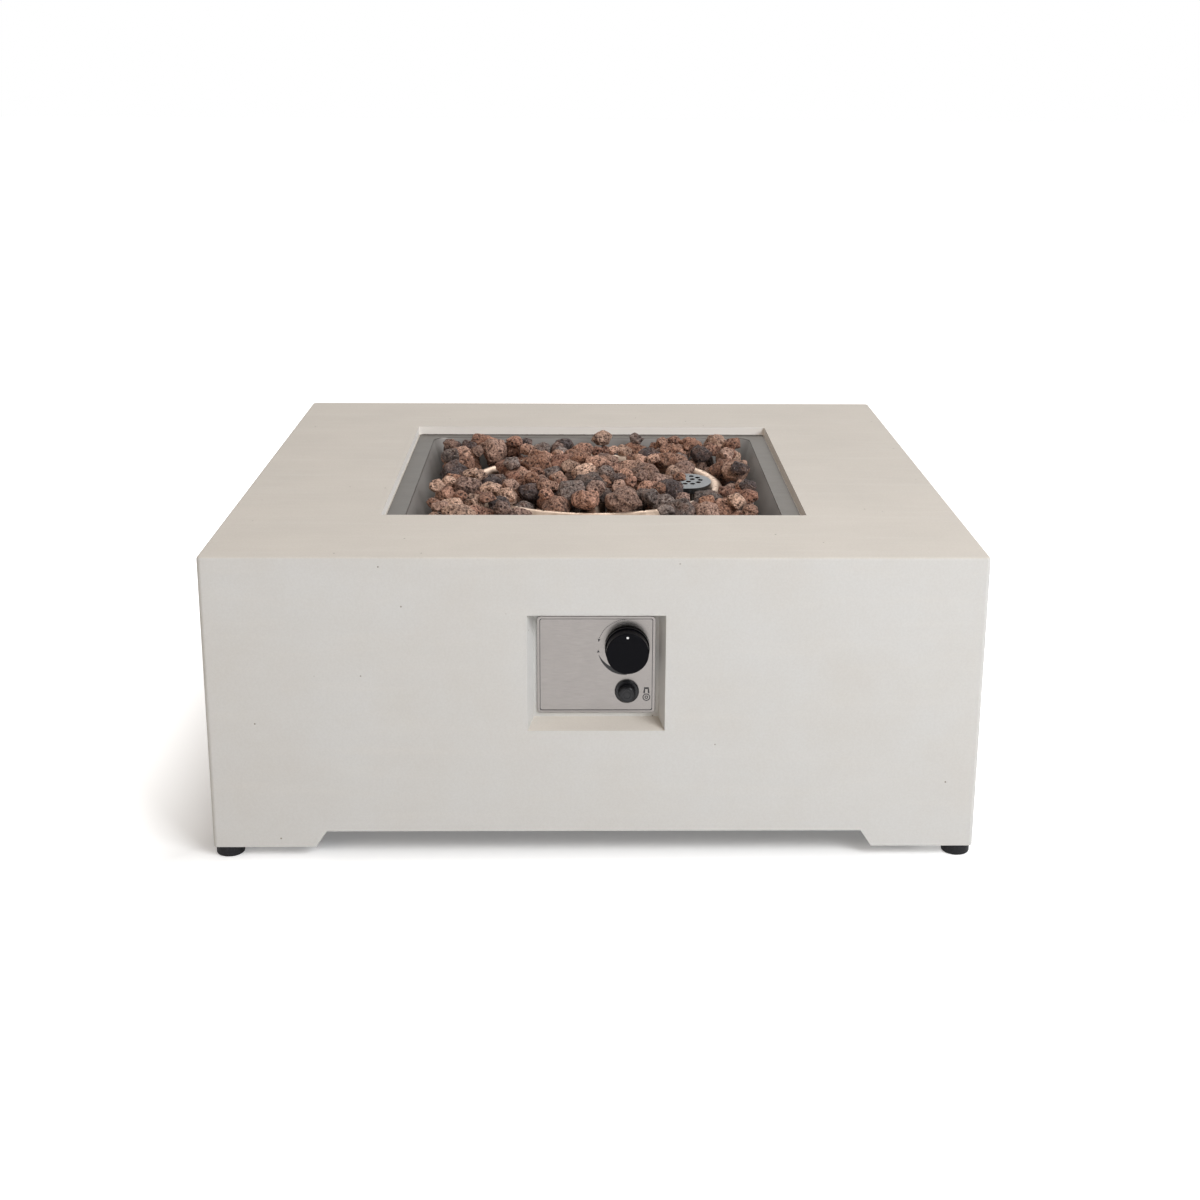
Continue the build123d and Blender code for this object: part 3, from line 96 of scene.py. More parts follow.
def add_node(tree, kind, settings=None, inputs=None):
    """One node of a tree, with its settings, and each input given a value or another node's output."""
    node = tree.nodes.new(kind)
    for name, value in (settings or {}).items():
        setattr(node, name, value)
    for name, value in (inputs or {}).items():
        if isinstance(value, bpy.types.NodeSocket):
            tree.links.new(value, node.inputs[name])
        else:
            node.inputs[name].default_value = value
    return node


def seen_directly(tree):
    """1 where the eye, a reflection or a view through glass meets the surface, and 0 for its light."""
    path = add_node(tree, "ShaderNodeLightPath")
    either = add_node(tree, "ShaderNodeMath", {"operation": "MAXIMUM"},
                      {0: path.outputs["Is Camera Ray"], 1: path.outputs["Is Glossy Ray"]})
    return add_node(tree, "ShaderNodeMath", {"operation": "MAXIMUM"},
                    {0: either.outputs[0], 1: path.outputs["Is Transmission Ray"]}).outputs[0]


room = bpy.data.worlds.new("white_room")
room.use_nodes = True
room.node_tree.nodes.clear()
room_side = add_node(room.node_tree, "ShaderNodeSeparateXYZ", None,
                     {0: add_node(room.node_tree, "ShaderNodeTexCoord").outputs["Generated"]}).outputs["X"]
room_fade = add_node(room.node_tree, "ShaderNodeMapRange", None, {
    "Value": room_side, "From Min": -1.0, "From Max": 0.6, "To Min": 0.20, "To Max": 0.55}).outputs[0]
room_share = add_node(room.node_tree, "ShaderNodeMapRange", None,
                      {"Value": room_side, "From Min": -1.0, "From Max": 0.4}).outputs[0]
room_tint = add_node(room.node_tree, "ShaderNodeMix", {"data_type": "RGBA"},
                     {0: room_share, 6: srgb("#efd8c2"), 7: srgb("#f8fafe")}).outputs[2]
room_light = add_node(room.node_tree, "ShaderNodeBackground", None,
                      {"Color": room_tint, "Strength": room_fade})
room_wall = add_node(room.node_tree, "ShaderNodeBackground", None,
                     {"Color": srgb("#ffffff"), "Strength": 1.0})
room_mix = add_node(room.node_tree, "ShaderNodeMixShader", None,
                    {0: seen_directly(room.node_tree), 1: room_light.outputs[0], 2: room_wall.outputs[0]})
add_node(room.node_tree, "ShaderNodeOutputWorld", None, {"Surface": room_mix.outputs[0]})
bpy.context.scene.world = room


def soft_box(name, place, width, power, colour):
    """A square studio lamp that points at the middle of the table."""
    lamp = bpy.data.lights.new(name, "AREA")
    lamp.shape, lamp.size, lamp.energy, lamp.color = "SQUARE", width, power, srgb(colour)[:3]
    stand = bpy.data.objects.new(name, lamp)
    stand.location = place
    stand.rotation_euler = (Vector((0, 0, 0.2)) - Vector(place)).to_track_quat("-Z", "Y").to_euler()
    bpy.context.scene.collection.objects.link(stand)


soft_box("key_box", (1.5, -2.0, 1.9), 1.4, 56, "#fafcff")
soft_box("fill_box", (-1.8, -2.4, 1.6), 1.6, 11, "#fff0e0")
soft_box("back_box", (0.2, 2.6, 2.5), 1.4, 27, "#fffcf8")

floor_mesh = bpy.data.meshes.new("studio_floor")
floor_half = 20
floor_mesh.from_pydata([(-floor_half, -floor_half, 0), (floor_half, -floor_half, 0),
                        (floor_half, floor_half, 0), (-floor_half, floor_half, 0)], [], [(0, 1, 2, 3)])
studio_floor = bpy.data.objects.new("studio_floor", floor_mesh)
bpy.context.scene.collection.objects.link(studio_floor)
white_board = bpy.data.materials.new("white_board")
white_board.use_nodes = True
board = white_board.node_tree
board.nodes.clear()
board_place = add_node(board, "ShaderNodeTexCoord").outputs["Object"]
board_shift = add_node(board, "ShaderNodeVectorMath", {"operation": "ADD"},
                       {0: board_place, 1: (0.045, 0, 0)}).outputs[0]
board_size = add_node(board, "ShaderNodeVectorMath", {"operation": "ABSOLUTE"}, {0: board_shift}).outputs[0]
board_axes = add_node(board, "ShaderNodeSeparateXYZ", None, {0: board_size})
board_far = add_node(board, "ShaderNodeMath", {"operation": "MAXIMUM"},
                     {0: board_axes.outputs["X"], 1: board_axes.outputs["Y"]}).outputs[0]
board_fade = add_node(board, "ShaderNodeMapRange", None, {
    "Value": board_far, "From Min": 0.37, "From Max": 0.57, "To Min": 0.19, "To Max": 1.0}).outputs[0]
board_white = add_node(board, "ShaderNodeMath", {"operation": "MULTIPLY"},
                       {0: board_fade, 1: seen_directly(board)}).outputs[0]
board_paint = add_node(board, "ShaderNodeBsdfDiffuse", None, {"Color": srgb("#f0f0ef")})
board_glow = add_node(board, "ShaderNodeEmission", None,
                      {"Color": srgb("#ffffff"), "Strength": board_white})
board_sum = add_node(board, "ShaderNodeAddShader", None,
                     {0: board_paint.outputs[0], 1: board_glow.outputs[0]})
board_under = add_node(board, "ShaderNodeNewGeometry").outputs["Backfacing"]
board_open = add_node(board, "ShaderNodeMixShader", None, {
    0: board_under, 1: board_sum.outputs[0], 2: add_node(board, "ShaderNodeBsdfTransparent").outputs[0]})
add_node(board, "ShaderNodeOutputMaterial", None, {"Surface": board_open.outputs[0]})
floor_mesh.materials.append(white_board)

# ---- Casing --------------------------------------------------------------------------------------
# One casting of fibre-reinforced lightweight concrete, rubbed smooth and sealed with a matt sealer.
# It shows faint clouds, long pale drag marks from the trowel on its top, and a few pinholes.
# The walls of its opening are painted paler, as painted light standing in for the light they catch.


def noise_of(tree, place, size_mm, detail=2.0, roughness=0.5, stretch=(1, 1, 1)):
    """Cloud pattern whose lumps are about this many millimetres across."""
    mapped = add_node(tree, "ShaderNodeMapping", None, {"Vector": place, "Scale": stretch})
    return add_node(tree, "ShaderNodeTexNoise", None,
                    {"Vector": mapped.outputs[0], "Scale": 1000 / size_mm, "Detail": detail,
                     "Roughness": roughness}).outputs["Fac"]


def spread(tree, value, low, high, to_low=0.0, to_high=1.0):
    """A value's range from low to high drawn out to another range, and held there."""
    return add_node(tree, "ShaderNodeMapRange", {"clamp": True}, {
        "Value": value, "From Min": low, "From Max": high, "To Min": to_low, "To Max": to_high}).outputs[0]


def blend_colours(tree, share, first, second, kind="MIX"):
    """Two colours, given or worked out, mixed by a share."""
    mixer = add_node(tree, "ShaderNodeMix", {"data_type": "RGBA", "blend_type": kind})
    for socket, value in ((mixer.inputs[0], share), (mixer.inputs[6], first), (mixer.inputs[7], second)):
        if isinstance(value, bpy.types.NodeSocket):
            tree.links.new(value, socket)
        else:
            socket.default_value = value
    return mixer.outputs[2]


def raised(tree, height, depth_mm, onto=None):
    """Surface relief of this depth, on top of an earlier one if there is one."""
    inputs = {"Height": height, "Distance": depth_mm / 1000, "Strength": 1.0}
    if onto is not None:
        inputs["Normal"] = onto
    return add_node(tree, "ShaderNodeBump", None, inputs).outputs[0]


def new_finish(name, **sockets):
    """A material with its surface shader's plain values set, its tree, and the place on the piece."""
    finish = bpy.data.materials.new(name)
    finish.use_nodes = True
    shader = finish.node_tree.nodes["Principled BSDF"]
    for socket, value in sockets.items():
        shader.inputs[socket.replace("_", " ")].default_value = value
    place = add_node(finish.node_tree, "ShaderNodeTexCoord").outputs["Object"]
    return finish, finish.node_tree, shader, place


def dress(finish, *names):
    """Give CAD nodes this finish."""
    for name in names:
        mesh = nodes[name].data
        mesh.materials.clear()
        mesh.materials.append(finish)


concrete, tree, shader, place = new_finish("sealed_concrete", IOR=1.5)
clouds = noise_of(tree, place, 90, 3, 0.55)
drag = noise_of(tree, place, 14, 3, 0.6, (0.09, 1, 1))
grain = noise_of(tree, place, 2.2, 2, 0.6)
facing = add_node(tree, "ShaderNodeSeparateXYZ", None,
                  {0: add_node(tree, "ShaderNodeNewGeometry").outputs["Normal"]}).outputs["Z"]
upper = spread(tree, facing, 0.3, 0.9)
# Painted light: faces that look up are tinted warmer and paler than the sides, standing in for warmer light
# from above.
body = blend_colours(tree, upper, srgb("#cdccc9"), srgb("#d5cec4"))
body = blend_colours(tree, spread(tree, clouds, 0.35, 0.7, 0, 0.3), body, srgb("#c6c0b7"))
marked = add_node(tree, "ShaderNodeMath", {"operation": "MULTIPLY"}, {
    0: spread(tree, drag, 0.5, 0.75), 1: spread(tree, facing, 0.3, 0.9, 0.12, 0.35)}).outputs[0]
body = blend_colours(tree, marked, body, srgb("#dbd6cd"))
body = blend_colours(tree, spread(tree, grain, 0.35, 0.65, 0, 0.07), body, srgb("#9f968a"))
cells = add_node(tree, "ShaderNodeTexVoronoi", None, {"Vector": place, "Scale": 1000 / 22})
pinhole = spread(tree, cells.outputs["Distance"], 0.030, 0.055, 1, 0)
sparse = add_node(tree, "ShaderNodeSeparateColor", None, {0: cells.outputs["Color"]}).outputs[0]
pinhole = add_node(tree, "ShaderNodeMath", {"operation": "MULTIPLY"},
                   {0: pinhole, 1: spread(tree, sparse, 0.72, 0.75)}).outputs[0]
# Painted shade: the pinholes are darkened as well as sunk by the bump.
body = blend_colours(tree, pinhole, body, srgb("#8d857b"))
from_middle = add_node(tree, "ShaderNodeSeparateXYZ", None, {
    0: add_node(tree, "ShaderNodeVectorMath", {"operation": "ABSOLUTE"}, {0: place}).outputs[0]})
sideways = add_node(tree, "ShaderNodeMath", {"operation": "MAXIMUM"},
                    {0: from_middle.outputs["X"], 1: from_middle.outputs["Y"]}).outputs[0]
# Painted light: the walls inside the opening are blended to a pale cream to stand in for light.
opening_half, opening_edge = 0.2380, 0.0005
in_opening = spread(tree, sideways, opening_half, opening_half + opening_edge, 1, 0)
opening_wall_painted_light = add_node(tree, "ShaderNodeMath", {"operation": "MULTIPLY"},
                        {0: in_opening, 1: spread(tree, upper, 0, 1, 1, 0)}).outputs[0]
body = blend_colours(tree, opening_wall_painted_light, body, srgb("#f3eee7"))
tree.links.new(body, shader.inputs["Base Color"])
tree.links.new(spread(tree, grain, 0.3, 0.7, 0.72, 0.86), shader.inputs["Roughness"])
relief = raised(tree, clouds, 0.10)
relief = raised(tree, grain, 0.04, relief)
hollow = add_node(tree, "ShaderNodeMath", {"operation": "SUBTRACT"}, {0: 1.0, 1: pinhole}).outputs[0]
tree.links.new(raised(tree, hollow, 0.3, relief), shader.inputs["Normal"])
dress(concrete, "casing")

# ---- Levelling feet ------------------------------------------------------------------------------
# Glass-filled nylon pads on zinc-plated M8 screws, which climb in brass inserts cast into the corners.
# Moulded nylon is dull black with a fine spark texture; bright zinc is bluish and a little cloudy.

nylon, tree, shader, place = new_finish("moulded_nylon", IOR=1.53, Specular_IOR_Level=0.2)
grit = noise_of(tree, place, 1.2, 2, 0.6)
tree.links.new(blend_colours(tree, spread(tree, grit, 0.35, 0.65), srgb("#131314"), srgb("#26262a")),
               shader.inputs["Base Color"])
tree.links.new(spread(tree, grit, 0.3, 0.7, 0.5, 0.68), shader.inputs["Roughness"])
tree.links.new(raised(tree, grit, 0.08), shader.inputs["Normal"])
corners = ("front_left", "front_right", "back_left", "back_right")
dress(nylon, *[f"foot_pad_{corner}" for corner in corners])


def metal(name, dark, light, rough, grain_mm, stretch=(1, 1, 1), depth_mm=0.02):
    """Bare or plated metal: two near colours and a spread of roughness, drawn out along its grain."""
    finish, tree, shader, place = new_finish(name, Metallic=1.0)
    grain = noise_of(tree, place, grain_mm, 3, 0.6, stretch)
    haze = noise_of(tree, place, 25, 2, 0.5)
    tone = blend_colours(tree, spread(tree, grain, 0.3, 0.7), srgb(dark), srgb(light))
    tone = blend_colours(tree, spread(tree, haze, 0.4, 0.7, 0, 0.35), tone, srgb(dark))
    tree.links.new(tone, shader.inputs["Base Color"])
    tree.links.new(spread(tree, grain, 0.3, 0.7, rough[0], rough[1]), shader.inputs["Roughness"])
    tree.links.new(raised(tree, grain, depth_mm), shader.inputs["Normal"])
    return finish


bright_zinc = metal("bright_zinc", "#9a9fa3", "#c9cccd", (0.28, 0.45), 3)
turned_brass = metal("turned_brass", "#a98646", "#d3b46c", (0.22, 0.36), 1.2, (1, 1, 6))
dress(bright_zinc, *[f"foot_stud_{corner}" for corner in corners])
dress(turned_brass, "foot_inserts")

# ---- Burner pan ----------------------------------------------------------------------------------
# Stainless sheet 1.2 mm thick, pressed to a shallow pan with a flat flange, and left with its 2B finish.
# The mill finish is satin grey with long soft streaks, and its sides are duller and paler from heat.

mill_steel = metal("mill_finish_stainless", "#4e4b47", "#635f5a", (0.44, 0.58), 1.5, (0.05, 1, 1), 0.01)
tree, shader = mill_steel.node_tree, mill_steel.node_tree.nodes["Principled BSDF"]
pan_height = add_node(tree, "ShaderNodeSeparateXYZ", None,
                      {0: add_node(tree, "ShaderNodeTexCoord").outputs["Object"]}).outputs["Z"]
flange_low, flange_top = 0.3222, 0.3238
side = spread(tree, pan_height, flange_low, flange_top, 1, 0)
rubbed, rough = (shader.inputs[socket].links[0].from_socket for socket in ("Base Color", "Roughness"))
tree.links.new(blend_colours(tree, side, rubbed, srgb("#96928e")), shader.inputs["Base Color"])
dull = add_node(tree, "ShaderNodeMath", {"operation": "MULTIPLY"}, {0: side, 1: 0.75}).outputs[0]
tree.links.new(add_node(tree, "ShaderNodeMath", {"operation": "MAXIMUM"}, {0: rough, 1: dull}).outputs[0],
               shader.inputs["Roughness"])
dress(mill_steel, "burner_pan")

# ---- Ring burner ---------------------------------------------------------------------------------
# Stainless tube 19 mm across, bent to a 12 inch ring, with ports drilled in its top and a crossbar.
# The first firing has tinted the satin tube straw to pale brown.

straw_steel = metal("heat_tinted_stainless", "#a08b7a", "#cfbaa8", (0.38, 0.54), 9, (1, 1, 1), 0.03)
dress(straw_steel, "ring_burner", "burner_crossbar")
dress(bright_zinc, "burner_nut", "air_mixer", "line_nuts", "panel_nuts")
dress(turned_brass, "gas_injector", "inlet_fitting", "magnet_unit", "valve_plug")

# ---- Gas line and leads --------------------------------------------------------------------------
# Bare aluminised tube from the valve to the injector, a copper capillary to the thermocouple, and
# a red silicone lead to the electrode. Tube and copper are drawn.

drawn_tube = metal("aluminised_tube", "#9b9c9b", "#c4c4c0", (0.32, 0.46), 4)
capillary = metal("copper_capillary", "#8d5a3c", "#c18a63", (0.3, 0.45), 3)
dress(drawn_tube, "gas_line")
dress(capillary, "thermocouple_lead")
silicone, tree, shader, place = new_finish("silicone_sleeve", IOR=1.41)
dust = noise_of(tree, place, 5, 3, 0.6)
tree.links.new(blend_colours(tree, spread(tree, dust, 0.35, 0.7), srgb("#7d1f18"), srgb("#93392f")),
               shader.inputs["Base Color"])
tree.links.new(spread(tree, dust, 0.3, 0.7, 0.45, 0.65), shader.inputs["Roughness"])
dress(silicone, "ignition_lead")

# ---- Control plate -------------------------------------------------------------------------------
# Stainless plate 1.2 mm thick with a flat raised rim, brushed from side to side.
# The marks are black screen print: an arc for the lighting position, a wedge for the flow, a cell sign; a
# thin black line along the inner edge of the rim is painted shade.

brushed_plate = metal("brushed_stainless", "#7d7977", "#8b8784", (0.20, 0.28), 0.35, (0.03, 1, 1), 0.002)
dress(brushed_plate, "control_plate")


def box_of(name):
    """Low and high corner of a CAD node as it stands."""
    node = nodes[name]
    corners = np.array([node.matrix_world @ vertex.co for vertex in node.data.vertices])
    return corners.min(axis=0), corners.max(axis=0)


plate_low, plate_high = box_of("control_plate")
knob_low, knob_high = box_of("knob")
dial_x, dial_z = (knob_low[0] + knob_high[0]) / 2, (knob_low[2] + knob_high[2]) / 2
ink_sunk, dial_radius = 0.00045, 0.0308
ink_y = plate_low[1] + ink_sunk


def on_dial(degrees, radius):
    """Point of the plate at an angle, anticlockwise from the right, round the middle of the knob."""
    return dial_x + radius * cos(radians(degrees)), dial_z + radius * sin(radians(degrees))


def flat_mark(name, outlines, depth, finish, body):
    """Filled shapes that lie on a front surface, each given as points (x, z) in order."""
    points, faces = [], []
    for outline in outlines:
        faces.append(range(len(points), len(points) + len(outline)))
        points += [(x, depth, z) for x, z in outline]
    mesh = bpy.data.meshes.new(name)
    mesh.from_pydata(points, [], [list(face) for face in faces])
    mesh.materials.append(finish)
    mark = bpy.data.objects.new(name, mesh)
    bpy.context.scene.collection.objects.link(mark)
    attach(mark, body)


def band(start, end, inner, outer, steps=24):
    """Outline of a curved strip round the knob; the radii at its start and end may differ."""
    shares = [step / steps for step in range(steps + 1)]
    outside = [on_dial(start + (end - start) * t, outer[0] + (outer[1] - outer[0]) * t) for t in shares]
    inside = [on_dial(start + (end - start) * t, inner[0] + (inner[1] - inner[0]) * t) for t in shares]
    return outside + inside[::-1]


def pointer(degrees, turn):
    """Arrowhead on the dial's circle; turn is 1 for anticlockwise and -1 for clockwise."""
    length, half_width = 6, 0.0014
    tip = on_dial(degrees + length * turn, dial_radius)
    return [tip, on_dial(degrees, dial_radius - half_width), on_dial(degrees, dial_radius + half_width)]


def disc_outline(x, z, radius, steps=24):
    """Outline of a disc."""
    return [(x + radius * cos(2 * pi * step / steps), z + radius * sin(2 * pi * step / steps))
            for step in range(steps)]


screen_ink, tree, shader, place = new_finish("black_screen_ink", IOR=1.5)
cover = noise_of(tree, place, 0.6, 2, 0.5)
tree.links.new(blend_colours(tree, spread(tree, cover, 0.3, 0.7), srgb("#141416"), srgb("#26262a")),
               shader.inputs["Base Color"])
tree.links.new(spread(tree, cover, 0.3, 0.7, 0.42, 0.6), shader.inputs["Roughness"])
dot_radius, dot_sides = 0.00055, 10
marks = [disc_outline(*on_dial(degrees, dial_radius), dot_radius, dot_sides) for degrees in range(96, 163, 4)]
marks += [pointer(163, 1), pointer(191, -1)]
inner_deepest, outer_widest = dial_radius - 0.0042, dial_radius + 0.0009
marks.append(band(196, 240, (dial_radius, inner_deepest), (dial_radius + 0.0003, outer_widest)))
marks.append(band(240, 270, (inner_deepest, dial_radius - 0.0010), (outer_widest, dial_radius)))
cell_x, cell_z = dial_x + 0.0208, dial_z - 0.0560
marks.append([(cell_x + across, cell_z + up) for across, up in (
    (-0.0034, 0.0044), (-0.0016, 0.0044), (-0.0014, 0.0092), (0.0014, 0.0092),
    (0.0016, 0.0044), (0.0034, 0.0044), (0.0024, 0.0112), (-0.0024, 0.0112))])
for outer, inner in ((0.0041, 0.0031), (0.0019, 0.0009)):
    marks.append([(cell_x + radius * cos(pi * step / 16), cell_z + radius * sin(pi * step / 16))
                  for radius, steps in ((outer, range(33)), (inner, range(32, -1, -1))) for step in steps])
rim_width = 0.0024
frame_low, frame_high = plate_low + rim_width, plate_high - rim_width
rim_shade_corners = [(across, up, turn) for across, up, turn in (
    (frame_high[0], frame_high[2], 0), (frame_low[0], frame_high[2], 90),
    (frame_low[0], frame_low[2], 180), (frame_high[0], frame_low[2], 270))]


def rim_shade_loop(inset):
    """Rounded rectangle this far inside the rim of the plate, for the thin black line of painted shade along
    the rim's inner edge.
    """
    radius, points = 0.002, []
    for across, up, first_turn in rim_shade_corners:
        side_x = 1 if across > plate_low[0] + 0.05 else -1
        side_z = 1 if up > plate_low[2] + 0.05 else -1
        centre_x, centre_z = across - side_x * (inset + radius), up - side_z * (inset + radius)
        turns = [radians(first_turn + 15 * step) for step in range(7)]
        points += [(centre_x + radius * cos(turn), centre_z + radius * sin(turn)) for turn in turns]
    return points + points[:1]


# Painted shade: a thin black line just inside the raised rim, where the rim's edge would hold shade.
marks.append(rim_shade_loop(0.0001) + rim_shade_loop(0.0007)[::-1])
flat_mark("plate_marks", marks, ink_y, screen_ink, "base")

# ---- Gas valve -----------------------------------------------------------------------------------
# Die-cast aluminium body with a brass plug, a steel spindle and a steel spring behind the plate.
# Die-casting leaves a dull, slightly mottled skin.


def pressed_spring(name, node, finish):
    """A spring's own copy of its CAD mesh, in this finish, on the base in place of the CAD node."""
    coil = bpy.data.objects.new(name, nodes[node].data.copy())
    bpy.context.scene.collection.objects.link(coil)
    coil.data.materials.clear()
    coil.data.materials.append(finish)
    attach(coil, "base")
    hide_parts(node)
    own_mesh(coil)


die_cast = metal("die_cast_aluminium", "#8b8d8f", "#b2b4b5", (0.42, 0.58), 4, (1, 1, 1), 0.06)
dress(die_cast, "valve_body")
dress(bright_zinc, "valve_spindle", "valve_screws")
pressed_spring("knob_return_spring", "knob_spring", bright_zinc)
pressed_spring("button_return_spring", "button_spring", bright_zinc)

# ---- Gas knob ------------------------------------------------------------------------------------
# Black ABS knob with a flat face, a small edge radius and a skirt, pushed on the flat of the spindle.
# It is satin and its dot is filled with white paint. The igniter's body and ridged button are glossier.

satin_abs, tree, shader, place = new_finish("satin_abs", IOR=1.53)
grit = noise_of(tree, place, 0.8, 2, 0.6)
shader.inputs["Specular IOR Level"].default_value = 0.04
tree.links.new(blend_colours(tree, spread(tree, grit, 0.35, 0.65), srgb("#08080b"), srgb("#0e0e12")),
               shader.inputs["Base Color"])
tree.links.new(spread(tree, grit, 0.3, 0.7, 0.26, 0.36), shader.inputs["Roughness"])
tree.links.new(raised(tree, grit, 0.02), shader.inputs["Normal"])
dress(satin_abs, "knob")
gloss_abs, tree, shader, place = new_finish("gloss_abs", IOR=1.53, Specular_IOR_Level=0.3)
grit = noise_of(tree, place, 0.8, 2, 0.6)
tree.links.new(blend_colours(tree, spread(tree, grit, 0.35, 0.65), srgb("#0c0c0f"), srgb("#141418")),
               shader.inputs["Base Color"])
tree.links.new(spread(tree, grit, 0.3, 0.7, 0.2, 0.3), shader.inputs["Roughness"])
tree.links.new(raised(tree, grit, 0.01), shader.inputs["Normal"])
dress(gloss_abs, "igniter_housing", "igniter_nut", "igniter_button")
dot_paint, tree, shader, place = new_finish("white_dot_paint", IOR=1.5, Roughness=0.45)
pigment = noise_of(tree, place, 0.5, 2, 0.5)
tree.links.new(blend_colours(tree, spread(tree, pigment, 0.3, 0.7), srgb("#e2e2e0"), srgb("#f2f2f0")),
               shader.inputs["Base Color"])


def turned(name, outline, centre, finish, body, steps=48):
    """A turned piece that faces the front: its outline is pairs of radius and depth behind the centre."""
    turns = [2 * pi * step / steps for step in range(steps)]
    points = [(centre[0] + radius * cos(turn), centre[1] + behind, centre[2] + radius * sin(turn))
              for turn in turns for radius, behind in outline]
    rows, faces = len(outline), []
    for step in range(steps):
        here, after = step * rows, (step + 1) % steps * rows
        faces += [(here + row, here + row + 1, after + row + 1, after + row) for row in range(rows - 1)]
    mesh = bpy.data.meshes.new(name)
    mesh.from_pydata(points, [], faces)
    mesh.materials.append(finish)
    piece = bpy.data.objects.new(name, mesh)
    bpy.context.scene.collection.objects.link(piece)
    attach(piece, body)


flat_mark("knob_dot_fill", [disc_outline(dial_x, knob_high[2] - 0.0055, 0.0013)], knob_low[1] + 0.0002,
          dot_paint, "knob")
button_low, button_high = box_of("igniter_button")
button_middle = ((button_low[0] + button_high[0]) / 2, button_low[1], (button_low[2] + button_high[2]) / 2)
for name, radius in (("button_outer_ridge", 0.0066), ("button_inner_ridge", 0.0038)):
    turned(name, [(radius - 0.0006, 0.0001), (radius - 0.0003, -0.0004), (radius + 0.0003, -0.0004),
                  (radius + 0.0006, 0.0001)], button_middle, gloss_abs, "igniter_button")

# ---- Igniter cell --------------------------------------------------------------------------------
# A plain AAA cell in a glossy shrink sleeve, shut inside the igniter.

cell_sleeve, tree, shader, place = new_finish("cell_sleeve", IOR=1.5, Roughness=0.2)
scuff = noise_of(tree, place, 6, 3, 0.6)
tree.links.new(blend_colours(tree, spread(tree, scuff, 0.45, 0.7), srgb("#4c5056"), srgb("#686c72")),
               shader.inputs["Base Color"])
dress(cell_sleeve, "battery")

# ---- Rock guard and sensors ----------------------------------------------------------------------
# A pressed stainless hood with round holes keeps rocks off the thermocouple and the electrode.
# It is grey from heat; the probes are nickel alloy and the electrode stands in white alumina.

hood_steel = metal("heated_grey_stainless", "#404345", "#5a5e61", (0.34, 0.48), 4)
probe_alloy = metal("nickel_alloy", "#6e6a64", "#96918a", (0.35, 0.5), 3)
dress(hood_steel, "rock_guard", "sensor_bracket")
dress(bright_zinc, "sensor_screws", "sensor_nuts")
dress(probe_alloy, "thermocouple", "electrode_wire")
alumina, tree, shader, place = new_finish("alumina", IOR=1.76, Roughness=0.35)
soot = noise_of(tree, place, 8, 3, 0.6)
tree.links.new(blend_colours(tree, spread(tree, soot, 0.5, 0.75), srgb("#ece7dc"), srgb("#b7ab9b")),
               shader.inputs["Base Color"])
dress(alumina, "electrode_insulator")

# ---- Lava rocks ----------------------------------------------------------------------------------
# Crushed scoria, 20 to 50 mm: lumps of red-brown, grey and near black lava full of gas bubbles.
# Each lump is broken and tumbled, so it is uneven with worn corners; its colour carries painted shade in its
# pores and creases and a painted highlight on its bumps.


def lumps_of(node):
    """The separate closed solids of a CAD node, as corner points."""
    mesh = nodes[node].data
    points = np.array([vertex.co for vertex in mesh.vertices])
    keys = {}
    same = [keys.setdefault(tuple(np.round(point * 1e5).astype(int)), len(keys)) for point in points]
    owner = list(range(len(keys)))

    def root(at):
        while owner[at] != at:
            owner[at] = owner[owner[at]]
            at = owner[at]
        return at

    for edge in mesh.edges:
        first, second = root(same[edge.vertices[0]]), root(same[edge.vertices[1]])
        owner[first] = second
    groups = {}
    for at, key in enumerate(same):
        groups.setdefault(root(key), {})[key] = points[at]
    return [np.array(list(group.values())) for group in groups.values()]


def sphere_mesh(level):
    """Points and triangles of a sphere cut into even triangles."""
    ball = bmesh.new()
    bmesh.ops.create_icosphere(ball, subdivisions=level, radius=1)
    points = np.array([vertex.co for vertex in ball.verts])
    faces = np.array([[vertex.index for vertex in face.verts] for face in ball.faces])
    ball.free()
    return points, faces


def flat_sides(corners):
    """Outward normals and distances of the flat sides of a convex lump about its middle."""
    hull = bmesh.new()
    for corner in corners:
        hull.verts.new(corner)
    bmesh.ops.convex_hull(hull, input=hull.verts)
    normals, distances = [], []
    for face in hull.faces:
        away = np.array(face.normal)
        distance = away @ np.array(face.verts[0].co)
        if distance < 0:
            away, distance = -away, -distance
        normals.append(away)
        distances.append(distance)
    hull.free()
    return np.array(normals), np.array(distances)


lattice = np.random.default_rng(5).uniform(-1, 1, (16, 16, 16))
bubble_spots = np.random.default_rng(6).uniform(0.1, 0.9, (16, 16, 16, 3))
bubble_radii = np.random.default_rng(7).uniform(0.16, 0.52, (16, 16, 16))


def cloud_at(points, size):
    """Smooth random value from -1 to 1 at each point, with lumps about this many metres across."""
    cell, part = np.divmod(points / size, 1)
    ease = part * part * (3 - 2 * part)
    total = np.zeros(len(points))
    for corner in product((0, 1), repeat=3):
        share = np.prod(np.where(corner, ease, 1 - ease), axis=1)
        total += share * lattice[tuple(((cell.astype(int) + corner) % 16).T)]
    return total


def bubble_at(points, pitch):
    """How deep each point lies in an open gas bubble, as a share of the bubble pitch."""
    cell, part = np.divmod(points / pitch, 1)
    deepest = np.zeros(len(points))
    for step in product((-1, 0, 1), repeat=3):
        there = tuple(((cell.astype(int) + step) % 16).T)
        away = ((bubble_spots[there] + step - part) ** 2).sum(axis=1)
        deepest = np.maximum(deepest, np.sqrt(np.clip(bubble_radii[there] ** 2 - away, 0, None)))
    return deepest


lava_tones = [srgb(code)[:3] for code in (
    "#a67b67", "#b08570", "#99705b", "#b98f79", "#8b6351", "#c49c86", "#a38474", "#93796d",
    "#9a7059", "#857a74", "#5f5854", "#474243", "#c8a58f")]
chance = Random(7)
corner_power, fullness, bubble_pitch = 12, 1.08, 0.0042


